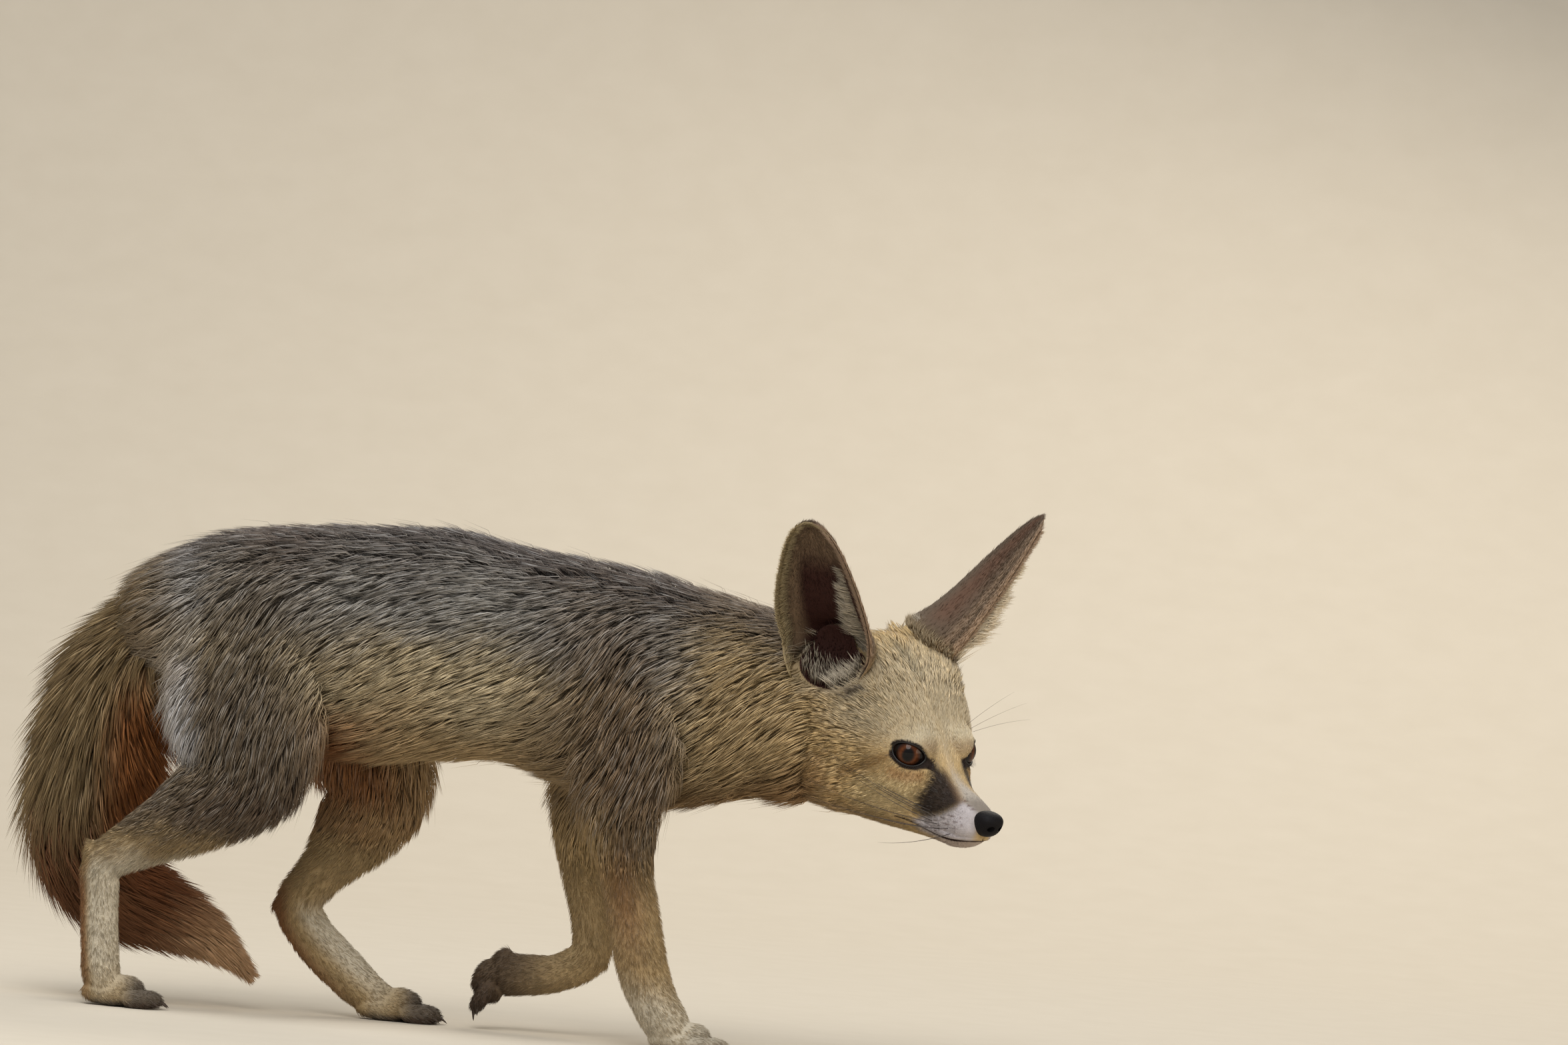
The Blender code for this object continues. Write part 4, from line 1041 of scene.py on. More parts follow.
def head_looks(points, field):
    """The hair of the head, which runs back from the nose and away from the eyes."""
    forward, side, up = field["own"].T
    hand = np.where(side < 0, -1.0, 1.0)
    aside = np.abs(side)
    cheek = ramp(aside, 1.0, 2.6) * ramp(up, 1.0, -1.5)
    rise = 0.25 * ramp(up, -0.5, 1.0) - 0.5 * cheek
    flow = np.stack([-np.ones_like(up), hand * (0.25 + 0.3 * cheek), rise], axis=1)
    from_eye = np.stack([forward - 0.4, aside - 2.05, up], axis=1)
    eye_gap = np.linalg.norm(from_eye, axis=1)
    away_from_eye = from_eye * np.stack([np.ones_like(hand), hand, np.ones_like(hand)], axis=1)
    flow = flow + unit(away_from_eye) * (1.6 * ramp(eye_gap, 2.3, 1.0))[:, None] * np.array((0.6, 0.6, 1.0))
    flow = unit(flow) @ np.array(head_turn()).T
    length = np.interp(forward, *HEAD_LENGTHS)
    length = length * (0.5 + 0.5 * ramp(eye_gap, 1.0, 2.2)) + 0.35 * cheek * ramp(forward, 0.0, -3.0)
    pit = np.minimum(pit_gap(points, -1), pit_gap(points, 1))
    length = length * (0.4 + 0.6 * ramp(pit, 0.1, 1.5))
    length = length + 0.4 * ramp(side, 0.2, 1.0) * ramp(pit, 1.9, 1.0) * ramp(up, 2.4, 3.2)
    width = np.interp(forward, *HEAD_WIDTHS)
    number = np.interp(forward, *HEAD_NUMBERS)
    number = number * (1.0 + 0.8 * ramp(pit, 1.2, 0.2))
    jaw = ramp(up, -2.0, -3.6) * ramp(forward, -2.0, -5.5)
    length = length + 0.4 * jaw
    colour = head_colours(forward, side, up, seen_from_side(forward, aside, up))
    colour = mixed(colour, EAR_FRINGE, 0.6 * ramp(pit, 0.6, 0.1) * ramp(up, 3.6, 2.6))
    grizzle = 0.5 * ramp(forward, -3.0, -7.0) * ramp(up, 0.0, 2.0) + 0.25 + 0.15 * ramp(forward, -5.0, -8.0)
    return flow, length, width, number, colour, grizzle, np.minimum(field["coat"] + 0.55 * jaw, 0.5 * length)


def seen_from_side(forward, aside, up):
    """Where places of the head stand in a level view of its right side, the left side's places mirrored."""
    own = np.stack([forward, -aside, up], axis=1)
    return (own @ np.array(head_turn()).T)[:, (0, 2)]


def inside(spots, outline, soft):
    """1 inside an outline and 0 outside it, with a soft edge."""
    corners = np.array(outline)
    gap = np.full(len(spots), np.inf)
    within = np.zeros(len(spots), bool)
    for start, end in zip(corners, np.roll(corners, -1, axis=0)):
        step = end - start
        share = np.clip((spots - start) @ step / (step @ step), 0.0, 1.0)
        gap = np.minimum(gap, np.linalg.norm(spots - start - share[:, None] * step, axis=1))
        rise = end[1] - start[1] if abs(end[1] - start[1]) > 1e-9 else 1e-9
        crossed = (start[1] > spots[:, 1]) != (end[1] > spots[:, 1])
        within ^= crossed & (spots[:, 0] < start[0] + (spots[:, 1] - start[1]) / rise * step[0])
    return ramp(np.where(within, gap, -gap), -soft, soft)


def head_colours(forward, side, up, seen):
    """The markings of the face. The left side's tear mark starts farther from the bridge."""
    aside = np.abs(side)
    colour = np.tile(SANDY, (len(up), 1))
    colour = painted(
        colour,
        (FOREHEAD, ramp(up, -0.5, 1.0) * ramp(forward, -5.5, -2.5)),
        (NAPE, 0.8 * ramp(forward, -6.0, -8.5) * ramp(up, 0.0, 2.5)),
        (JAW, ramp(up, -2.8, -3.8) * ramp(forward, 1.5, -1.0)),
        (NECK, ramp(forward, -5.5, -8.5) * ramp(up, 2.5, 0.5)),
    )
    near = ramp(aside, 0.0, 0.5)
    tears = np.where(side > 0, ramp(aside, 0.6, 0.9), near)
    colour = painted(
        colour,
        (CROWN, 0.8 * inside(seen, CROWN_MARK, 0.3)),
        (CHEEK, 0.85 * inside(seen, CREAM_MARK, 0.45) * near),
        (RUST, 0.3 * inside(seen, JAW_MARK, 0.6) * near),
        (STREAK, 0.75 * inside(seen, STREAK_MARK, 0.2) * near),
        (BROW, 0.5 * inside(seen, BROW_MARK, 0.35)),
        (BROW_DARK, 0.4 * inside(seen, BROW_SHADE, 0.3) * near),
        (BRIDGE, inside(seen, BRIDGE_MARK, 0.35)),
        (BRIDGE_GREY, 0.85 * ramp(forward, 3.0, 4.1) * ramp(up, -2.1, -1.4)),
        (MUZZLE, inside(seen, PAD_MARK, 0.18) * ramp(aside, 0.3, 0.7)),
        (RUST, 0.45 * inside(seen, RUST_MARK, 0.2) * near),
        (TEAR_RED, 0.8 * inside(seen, TEAR_FRONT, 0.25) * tears),
        (TEAR, 0.98 * inside(seen, TEAR_MARK, 0.26) * tears),
        (TEAR, inside(seen, EYE_MARK, 0.05) * near),
        (CHIN, inside(seen, CHIN_MARK, 0.1)),
        (EAR_DARK, 0.9 * inside(seen, EAR_BASE_MARK, 0.2) * near),
    )
    for place in STROKES:
        stroke = inside(seen, np.add(STROKE, place), 0.03)
        colour = mixed(colour, TEAR_RED * 0.8, 0.8 * stroke * near)
    return colour


def looks_on(name, points, field):
    if name == "trunk":
        return trunk_looks(points, field)
    if name == "head":
        return head_looks(points, field)
    return (leg_looks if name in LEGS else paw_looks)(points, field, name)


def coat_at(points):
    """Everything that the coat and the skin's colour need at each point."""
    fields = {"trunk": on_trunk(points), "head": on_head(points)}
    fields.update({name: on_path(points, rows) for name, rows in LEGS.items()})
    fields.update({name: on_paw(points, name) for name in PAWS})
    shares = shares_of(fields, points[:, 2] - 20.0 * (fields["head"]["away"] < 1.5))
    looks = [looks_on(name, points, field) for name, field in fields.items()]
    out = {}
    for key, parts in zip(LOOKS, zip(*looks)):
        values = np.stack([unit(part) if key == "flow" else part for part in parts])
        weights = shares[..., None] if values.ndim == 3 else shares
        out[key] = (values * weights).sum(axis=0)
    out["field"] = shares.argmax(axis=0)
    pick = (out["field"], np.arange(len(points)))
    along, around = (np.stack([field[key] for field in fields.values()])[pick] for key in ("along", "around"))
    out["uv"] = np.stack([along, around], axis=1)
    return out


def near_line(points, line):
    """The distance from each point to the nearest of a line's points."""
    return np.min([np.linalg.norm(points - np.array(place), axis=1) for place in line], axis=0)


def bare_places(points, mouths):
    """1 where hair grows and 0 on the lids' edges, in the sockets, in the mouth and under the nose."""
    grows = np.ones(len(points))
    for hand, mouth in zip(HANDS, mouths):
        centre = np.array(eye_frame(hand)[0])
        rim = near_line(points, lid_line(hand, EYE_RADIUS + LID_THICKNESS))
        grows *= ramp(rim, 0.1, 0.2)
        grows *= np.linalg.norm(points - centre, axis=1) > EYE_RADIUS + 0.06
        grows *= ramp(near_line(points, mouth), 0.08, 0.14)
    nose = np.array(head_point(*NOSE_CENTRE))
    grows *= np.linalg.norm(points - nose, axis=1) > 0.72
    for hand in HANDS:
        root, *ways = (np.array(v) for v in ear_frame(hand))
        above, ahead, across = ((points - root) @ way for way in ways)
        shell = (np.abs(across) < 1.9) * (ahead > -2.6)
        grows *= 1.0 - ramp(above, -0.6, 0.0) * ramp(ahead, -0.6, -1.2) * shell
        grows *= ramp(pit_gap(points, hand), 0.02, 0.1)
    return grows


def paint_skin(skin, mouths):
    """Gives the skin the coat's own markings, dark lids and mouth, and in the ears' pits the hollow's colour,
    darkened further as painted shade.
    """
    points, _, _ = arrays_of(skin)
    looks = coat_at(points)
    colour = looks["colour"] * 0.8
    for hand, mouth in zip(HANDS, mouths):
        rim = near_line(points, lid_line(hand, EYE_RADIUS + LID_THICKNESS))
        colour = painted(
            colour,
            (TEAR * 0.5, ramp(rim, 0.16, 0.1)),
            (MOUTH_DARK, ramp(near_line(points, mouth), 0.16, 0.08)),
            # The ear hollow's own dark red-brown, darkened further as painted shade deep in each ear's pit.
            (EAR_HOLLOW * 0.8, ramp(pit_gap(points, hand), 0.06, 0.02)),
        )
    write_colours(skin.data, colour)


def write_colours(mesh, colour):
    layer = mesh.color_attributes.new("coat", "FLOAT_COLOR", "POINT")
    rgba = np.ones((len(colour), 4), np.float32)
    rgba[:, :3] = colour
    layer.data.foreach_set("color", rgba.ravel())


def mesh_from(name, points, faces, colours, uvs=None):
    """A smooth mesh object from arrays: points in the plan's centimetres, and faces of like size."""
    mesh = bpy.data.meshes.new(name)
    mesh.vertices.add(len(points))
    placed = (points * CM + np.array(SHIFT)).astype(np.float32)
    mesh.vertices.foreach_set("co", placed.ravel())
    mesh.loops.add(faces.size)
    mesh.loops.foreach_set("vertex_index", faces.astype(np.int32).ravel())
    mesh.polygons.add(len(faces))
    mesh.polygons.foreach_set("loop_start", np.arange(0, faces.size, faces.shape[1], dtype=np.int32))
    mesh.update(calc_edges=True)
    mesh.shade_smooth()
    write_colours(mesh, colours)
    if uvs is not None:
        layer = mesh.uv_layers.new(name="OFBake")
        layer.data.foreach_set("uv", uvs[faces.ravel()].astype(np.float32).ravel())
    return linked(name, mesh, SHOWN)


# The size of a tuft's patch of the map, and its thickness as a share of its width.
PATCH = 0.003
TUFT_THICKNESS = 0.45


def tuft_arrays(stages, breadths, way, normal, colours, uv):
    """Closed three-sided tufts.

    stages is rings + 1 places for each tuft, the last its tip; breadths is a width for each ring; colours
    is one colour for each stage.
    """
    count, places, _ = stages.shape
    rings = places - 1
    across = unit(np.cross(way, normal))
    out = unit(np.cross(across, way))
    points = np.empty((count, 3 * rings + 1, 3))
    shades = np.empty((count, 3 * rings + 1, 3))
    spots = np.empty((count, 3 * rings + 1, 2))
    for r in range(rings):
        half = across * breadths[:, r, None] / 2
        thick = out * (breadths[:, r] * TUFT_THICKNESS)[:, None]
        points[:, 3 * r] = stages[:, r] + half - thick / 3
        points[:, 3 * r + 1] = stages[:, r] + thick * 2 / 3
        points[:, 3 * r + 2] = stages[:, r] - half - thick / 3
        for k in range(3):
            shades[:, 3 * r + k] = colours[:, r]
            spots[:, 3 * r + k] = uv + np.array(((k - 1) * PATCH / 2, r / rings * PATCH))
    points[:, -1] = stages[:, -1]
    shades[:, -1] = colours[:, -1]
    spots[:, -1] = uv + np.array((0.0, PATCH))
    pattern = [(0, 1, 2)]
    for r in range(rings - 1):
        for k in range(3):
            a, b = 3 * r + k, 3 * r + (k + 1) % 3
            pattern.extend([(a, a + 3, b + 3), (a, b + 3, b)])
    for k in range(3):
        pattern.append((3 * rings - 3 + k, 3 * rings, 3 * rings - 3 + (k + 1) % 3))
    faces = (np.arange(count)[:, None, None] * (3 * rings + 1) + np.array(pattern)[None]).reshape(-1, 3)
    return points.reshape(-1, 3), faces, shades.reshape(-1, 3), spots.reshape(-1, 2)


def tuft_object(name, *arrays):
    points, faces, shades, spots = tuft_arrays(*arrays)
    made = mesh_from(name, points, faces, shades, spots)
    made.data.materials.append(MATERIALS["fur"])
    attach(made, BODY)


def scatter(points, triangles, numbers, chance):
    """Random places on a surface, with that many for each square centimetre: triangle and its weights."""
    a, b, c = (points[triangles[:, k]] for k in range(3))
    areas = np.linalg.norm(np.cross(b - a, c - a), axis=1) / 2
    wanted = areas * numbers[triangles].mean(axis=1)
    total = int(wanted.sum())
    chosen = np.searchsorted(np.cumsum(wanted), chance.random(total) * wanted.sum())
    u, v = chance.random(total), chance.random(total)
    over = u + v > 1
    u[over], v[over] = 1 - u[over], 1 - v[over]
    return chosen, np.stack([1 - u - v, u, v], axis=1)


def spread(values, triangles, chosen, weights):
    corners = values[triangles[chosen]]
    return (corners * weights.reshape(weights.shape + (1,) * (values.ndim - 1))).sum(axis=1)


def clumped(roots, ends, spacing, pull, chance):
    """Draws the ends of the tufts towards the ends of a few chosen ones, so that the hair parts in locks."""
    cells = max(1, int(len(roots) / spacing))
    picks = chance.choice(len(roots), cells, replace=False)
    tree = KDTree(cells)
    for i, pick in enumerate(picks):
        tree.insert(roots[pick], i)
    tree.balance()
    nearest = picks[np.array([tree.find(root)[1] for root in roots])]
    return (ends[nearest] - ends) * pull[:, None]


def hair_colours(colour, grizzle, stages, chance):
    """Root to tip colours: darker roots, partly the hair's own banding and partly painted shade deep in the
    coat, and on grizzled parts pale bands and dark or white tips.
    """
    count = len(colour)
    shade = chance.normal(1.0, 0.15, (count, 1)).clip(0.65, 1.35)
    base = colour * shade
    kind = chance.random(count)
    out = []
    for share in stages:
        # The roots are darker than the tips: partly the hair's own banding, partly painted shade deep in the
        # coat.
        tone = base * (0.7 + 0.46 * min(share * 1.5, 1.0))
        reached = ramp(np.full(count, share), 0.3, 0.9)
        tone = painted(
            tone,
            (GREY_TIP, 0.7 * (kind < 0.2) * grizzle * reached),
            (DARK_TIP, 0.65 * (kind > 0.75) * grizzle * reached),
        )
        out.append(tone)
    return np.stack(out, axis=1)


# The layers of the coat: whether it is for long hair, its number, length, rise and width as shares of what
# the place asks for, and the rings of a tuft.
LAYERS = {
    "short": (False, 1.0, 1.0, 1.0, 1.0, 1),
    "under": (True, 1.2, 0.6, 0.62, 0.95, 1),
    "over": (True, 1.0, 1.0, 1.0, 1.0, 2),
    "guard": (True, 0.06, 1.25, 1.25, 0.45, 2),
}
# Between these lengths, short hair gives way to long.
LONG_HAIR = (0.65, 1.05)
# The most tufts in one piece, by their rings, and the least height of a hair over the floor.
MOST_TUFTS = {1: 49000, 2: 19000}
HAIR_FLOOR = 0.03


def fur_on(skin, mouths, chance, thinned):
    """Covers the skin in tufts: short straight ones on the face, legs and feet, and layers of long ones."""
    points, normals, triangles = arrays_of(skin)
    looks = coat_at(points)
    grows = bare_places(points, mouths) * (points[:, 2] > 0.05) * thinned
    for name, (is_long, more, *_) in LAYERS.items():
        long_share = ramp(looks["length"], *LONG_HAIR)
        there = long_share if is_long else 1.0 - long_share
        chosen, weights = scatter(points, triangles, looks["number"] * grows * there * more, chance)
        roots = spread(points, triangles, chosen, weights)
        out = unit(spread(normals, triangles, chosen, weights))
        plant(name, roots, out, chance)


def plant(name, roots, out, chance):
    """One layer of the coat on its roots, in pieces for the trunk, head and legs."""
    is_long, _, longer, higher, wider, rings = LAYERS[name]
    looks = coat_at(roots)
    count = len(roots)
    flow = looks["flow"] + chance.normal(0.0, 0.1, (count, 3))
    flow = unit(flow - out * (flow * out).sum(axis=1, keepdims=True))
    length = looks["length"] * chance.uniform(0.7, 1.15, count) * longer
    rise = looks["coat"] * chance.uniform(0.75, 1.12, count) * higher
    lift = np.arcsin(np.clip(rise / (0.62 * length), 0.05, 0.8))
    width = looks["width"] * chance.uniform(0.75, 1.25, count) * wider
    ways = [flow * np.cos(lift * k)[:, None] + out * np.sin(lift * k)[:, None] for k in (1.0, 0.25)]
    start = roots - out * 0.04
    middle = start + ways[0] * (length / 2)[:, None]
    end = middle + ways[1] * (length / 2)[:, None]
    end += np.array((0.0, 0.0, -0.04)) * length[:, None]
    if name != "guard":
        pull = (0.5 if is_long else 0.3) * chance.uniform(0.4, 1.3, count)
        drawn = clumped(roots, end, 10 if is_long else 7, pull, chance)
        drawn *= np.minimum(1.0, 0.3 * length / np.maximum(np.linalg.norm(drawn, axis=1), 1e-6))[:, None]
        end += drawn
        middle += drawn * 0.35
    for places in (end, middle):
        places[:, 2] = np.maximum(places[:, 2], HAIR_FLOOR)
    if rings == 2:
        levels, stages, breadths = (0.0, 0.5, 1.0), (start, middle, end), (width * 0.8, width)
    else:
        levels, stages, breadths = (0.2, 1.0), (start, end), (width,)
    tones = hair_colours(looks["colour"], looks["grizzle"], levels, chance)
    stages, breadths = np.stack(stages, axis=1), np.stack(breadths, axis=1)
    arrays = (stages, breadths, unit(end - start), out, tones, looks["uv"])
    region = np.minimum(looks["field"], 2)
    for k, part_of in enumerate(("trunk", "head", "legs")):
        index = np.flatnonzero(region == k)
        in_pieces(f"coat_{part_of}_{name}", arrays, index, math.ceil((len(index) + 1) / MOST_TUFTS[rings]))


def in_pieces(name, arrays, index, pieces):
    """Those tufts, as so many objects."""
    for part, some in enumerate(np.array_split(index, pieces)):
        if len(some):
            tuft_object(f"{name}_{part}", *(values[some] for values in arrays))


def ear_places(hand, share, across):
    """Places on the ear's inner face: share goes up the ear, and across from -1 to 1 round the cup."""
    root, tip, opening, side = (np.array(v) for v in ear_frame(hand))
    rows = np.array(refined(EAR_PROFILE, 6))
    half_width = np.interp(share, rows[:, 0], rows[:, 1]) - EAR_ROOT_TAPER[hand] * ramp(share, 0.1, -0.14)
    wrap = np.radians(np.interp(share, rows[:, 0], rows[:, 2]))
    edge = np.minimum(wrap, np.pi / 2)
    radius = half_width / np.sin(edge)
    angle = wrap * across
    sink = radius * (np.cos(angle) - np.cos(edge))
    up, over = (EAR_LENGTH * share)[:, None], (radius * np.sin(angle))[:, None]
    return root + tip * up + side * over - opening * sink[:, None]


def ear_surface(hand, share, across):
    """Places on the ear with their ways up it, across it and out of its hollow."""
    step = 0.01
    here = ear_places(hand, share, across)
    up = unit(ear_places(hand, share + step, across) - ear_places(hand, share - step, across))
    over = unit(ear_places(hand, share, across + step) - ear_places(hand, share, across - step))
    inward = unit(np.cross(over, up))
    opening = np.array(ear_frame(hand)[2])
    inward *= np.sign((inward * opening).sum(axis=1).sum())
    return here, up, over, inward


def ear_shell(name, hand):
    """The cartilage and skin of an ear, thick at the root and rounded at its rim."""
    rows, columns = EAR_GRID
    low, high = EAR_PROFILE[0][0], EAR_PROFILE[-1][0]
    shares = low + (high - low) * np.sin(np.pi / 2 * np.arange(rows) / (rows - 1))
    grid = np.meshgrid(shares, np.linspace(-1, 1, columns), indexing="ij")
    share, across = (values.ravel() for values in grid)
    share = np.minimum(share, 0.9999)
    places, _, _, inward = ear_surface(hand, share, across)
    thick = EAR_THICKNESS / 2 * (1.2 - 0.5 * share) * np.sqrt(1.02 - across**2)
    count = len(places)
    grid = np.arange(count).reshape(rows, columns)
    faces = np.stack([grid[:-1, :-1], grid[:-1, 1:], grid[1:, 1:], grid[1:, :-1]], axis=-1).reshape(-1, 4)
    border = np.concatenate([grid[:, 0], grid[-1, 1:], grid[-2::-1, -1], grid[0, -2:0:-1]])
    after = np.roll(border, -1)
    rim = np.stack([border, after, after + count, border + count], axis=1)
    points = np.concatenate([places + inward * thick[:, None], places - inward * thick[:, None]])
    tone = np.concatenate([ear_inner_tone(hand, share, across), ear_outer_tone(hand, share, across)])
    made = mesh_from(name, points, np.concatenate([faces, faces[:, ::-1] + count, rim]), tone * 0.85)
    bm = bmesh.new()
    bm.from_mesh(made.data)
    bmesh.ops.recalc_face_normals(bm, faces=bm.faces)
    bm.to_mesh(made.data)
    bm.free()
    made.data.shade_smooth()
    return made


def ear_inner_tone(hand, share, across):
    """The hollow is dark red-brown, greyer towards the tip, in a pale rim. A band of painted shadow and the
    buff margin lie before the fringe's roots at the front."""
    front = -hand * across
    tone = np.tile(EAR_HOLLOW, (len(share), 1))
    tone = mixed(tone, EAR_TOP, ramp(share, 0.5, 0.85))
    edge = np.maximum(np.abs(across), ramp(share, 0.78, 1.0))
    tone = painted(
        tone,
        (EAR_TOP, ramp(-front, 0.5, 0.72)),
        (EAR_RIM, ramp(edge, 0.8, 0.93)),
        # A band of painted shadow between the fringe's roots and the buff margin.
        (EAR_SHADOW_BAND, ramp(front, 0.44, 0.52) * ramp(share, 0.72, 0.5)),
        (EAR_FRONT, ramp(front, 0.6, 0.74)),
        (EAR_DARK, 0.9 * ramp(front, 0.5, 0.6) * ramp(share, 0.07, 0.0)),
    )
    return tone


def ear_outer_tone(hand, share, across):
    """The back is grey-brown, and a pale line and the buff margin run up its front."""
    front = -hand * across
    tone = np.tile(EAR_BACK, (len(share), 1))
    tone = painted(
        tone,
        (EAR_RIM, ramp(-front, 0.85, 0.97)),
        (EAR_WARM, 0.5 * hump(front, 0.4, 0.26) * ramp(share, 0.05, 0.25)),
        (EAR_FRONT, 0.6 * hump(front, 0.8, 0.06) * ramp(share, 1.0, 0.8)),
        (EAR_FRONT, ramp(front, 0.86, 0.94)),
        (SANDY * 0.8, 0.7 * ramp(share, 0.12, -0.05)),
    )
    return tone


# Ear hair up to this length is straight.
SHORT_EAR_HAIR = 0.5
# The long fringe along the front edge of the far ear: share up the ear from and to, tufts and length.
EAR_EDGE_FRINGE = (
    (-0.1, 0.15, 700, 1.9),
    (0.08, 0.3, 900, 1.6),
    (0.25, 0.5, 700, 1.15),
    (0.45, 0.7, 500, 0.7),
    (0.6, 0.94, 600, 0.42),
)
# The whitish fringe across the front of each hollow, in the same columns.
EAR_HOLLOW_FRINGE = (
    (-0.12, 0.12, 500, 1.35),
    (0.02, 0.24, 420, 1.15),
    (0.16, 0.36, 320, 0.9),
    (0.28, 0.5, 240, 0.68),
    (0.42, 0.64, 160, 0.5),
)
# The number of short hairs on the back and in the hollow of each ear.
EAR_BACK_HAIR = {-1: 3500, 1: 7000}
EAR_INNER_HAIR = {-1: 5200, 1: 2500}
# The length of the fringe in each ear's pit.
PIT_FRINGE = {-1: 1.1, 1: 0.45}


def ear_tufts(name, hand, tree, chance, thinned):
    """The short hair of an ear's back and rim, the fine hair of its hollow and pit, and the long fringe."""
    sheets = {1: [], 2: []}
    front, back = -hand, hand
    _, tip, _, side = (np.array(v) for v in ear_frame(hand))

    def grow(root, up, over, out, course, length, lift, width, base, uv):
        count = len(root)
        along, sideways, outward = course
        way = unit(up * along + over * sideways + out * outward + chance.normal(0, 0.15, (count, 3)))
        far = length * chance.uniform(0.7, 1.2, count)
        middle = root + way * (far * 0.55)[:, None]
        bend = unit(way + up * 0.25 - out * lift)
        end = middle + bend * (far * 0.45)[:, None]
        base = base * chance.normal(1.0, 0.13, (count, 1)).clip(0.7, 1.35)
        wide = width * chance.uniform(0.7, 1.25, count)
        # Each tuft is darker at the root than at the tip: partly the hair's own banding, partly painted shade
        # deep in the coat.
        if length > SHORT_EAR_HAIR:
            stages, breadths, shades = (root, middle, end), (wide * 0.85, wide), (0.7, 1.0, 1.1)
        else:
            stages, breadths, shades = (root, end), (wide,), (0.8, 1.1)
        tones = np.stack([base * shade for shade in shades], axis=1)
        arrays = (np.stack(stages, axis=1), np.stack(breadths, axis=1), way, out, tones, uv)
        sheets[len(breadths)].append(arrays)

    def add(count, share_range, across_range, outside, course, length, lift, width, tone):
        count = int(count * thinned)
        share = chance.uniform(*share_range, count)
        across = chance.uniform(*across_range, count)
        here, up, over, inward = ear_surface(hand, share, across)
        out = -inward if outside else inward
        root = here + out * (EAR_THICKNESS * 0.35)
        uv = np.stack([0.5 + 0.45 * across, 0.25 + 0.6 * share * (0.5 if outside else 0.4)], axis=1)
        grow(root, up, over, out, course, length, lift, width, tone(share, across), uv)

    def add_in_pit(count, chosen, course, length, lift, width, tone):
        here, out, ball = pit_places(hand, int(count * thinned), tree, chance)
        there = chosen(ball[:, 0], ball[:, 1] * front, ball[:, 2])
        here, out, ball = here[there], out[there], ball[there]
        up, over = np.tile(tip, (len(here), 1)), np.tile(side, (len(here), 1))
        uv = 0.1 + 0.02 * ball[:, 1:] * (1.0, 0.5)
        grow(here - out * 0.03, up, over, out, course, length, lift, width, np.tile(tone, (len(here), 1)), uv)

    def band(sign, low, high):
        return tuple(sorted((sign * low, sign * high)))

    def outer(share, across):
        return ear_outer_tone(hand, share, across)

    def inner(share, across):
        return ear_inner_tone(hand, share, across)

    def plain(tone):
        return lambda share, across: np.tile(tone, (len(share), 1))

    whole = (-1.0, 1.0)
    # Each row: number, shares of the length, shares of the width, whether on the back, course up, across and
    # out, length, droop, width and colour.
    add(EAR_BACK_HAIR[hand], (-0.05, 0.99), whole, True, (1.0, 0.0, 0.14), 0.42, 0.3, 0.05, outer)
    add(EAR_INNER_HAIR[hand], (-0.13, 0.97), (-0.85, 0.85), False, (1.0, 0.0, 0.3), 0.4, 0.3, 0.038, inner)
    for sign in HANDS:
        way = (0.5, sign * 0.8, 0.25)
        add(1500, (0.02, 0.93), band(sign, 0.93, 1.0), False, way, 0.28, 0.2, 0.038, inner)
    way = (0.5, front * 0.5, 0.5)
    add(1300, (-0.1, 0.95), band(back, 0.84, 0.97), False, way, 0.45, 0.25, 0.038, inner)
    way = (0.9, front * 0.1, 0.35)
    add(2300, (-0.12, 0.95), band(front, 0.62, 1.0), False, way, 0.5, 0.25, 0.04, inner)
    add(900, (0.93, 0.999), whole, False, (0.9, 0.0, 0.2), 0.2, 0.2, 0.038, plain(EAR_RIM))
    way, tone = (0.2, back * 1.0, 0.6), plain(EAR_FRINGE * 0.8)
    for low, high, count, length in EAR_HOLLOW_FRINGE:
        add(count, (low, high), band(front, 0.3, 0.46), False, way, length, 0.3, 0.04, tone)
    if hand > 0:
        add(2200, (-0.14, 0.06), whole, True, (0.95, 0.0, 0.1), 0.48, 0.25, 0.06, plain(EAR_ROOT_TONE))
        # The far ear's edge fringe is painted 1.35 times brighter than its own colour: painted light for
        # tufts that face away from the lamps.
        way, tone = (0.5, front * 0.3, 0.85), plain(EAR_FRINGE * 1.35)
        for low, high, count, length in EAR_EDGE_FRINGE:
            add(count, (low, high), band(front, 0.72, 1.0), False, way, length, 0.1, 0.048, tone)
    # The pit: number, where, course, length, droop, width and colour.
    add_in_pit(2600, lambda out, ahead, high: out < 0.5, (0.9, 0.0, 0.35), 0.4, 0.25, 0.038, EAR_HOLLOW)
    low = lambda out, ahead, high: (high < -0.35) & (out > -0.5)
    add_in_pit(2600, low, (0.75, 0.0, 0.5), 0.85, 0.2, 0.048, EAR_FRINGE * 0.55)
    forward = lambda out, ahead, high: (ahead > 0.35) & (out > -0.2)
    way, length = (0.2, back * 1.0, 0.5), PIT_FRINGE[hand]
    add_in_pit(4200, forward, way, length, 0.3, 0.048, EAR_FRINGE * 0.9)
    for rings, layers in sheets.items():
        tuft_object(f"{name}_{rings}", *(np.concatenate(arrays) for arrays in zip(*layers)))


def tail_course():
    """The tail's places with their distance from the root, ways on, and core and coat radii."""
    rows = np.array(refined(TAIL, 6))
    steps = np.linalg.norm(np.diff(rows[:, :3], axis=0), axis=1)
    distance = np.concatenate([[0.0], np.cumsum(steps)])
    ways = unit(np.gradient(rows[:, :3], axis=0))
    return distance, rows, ways


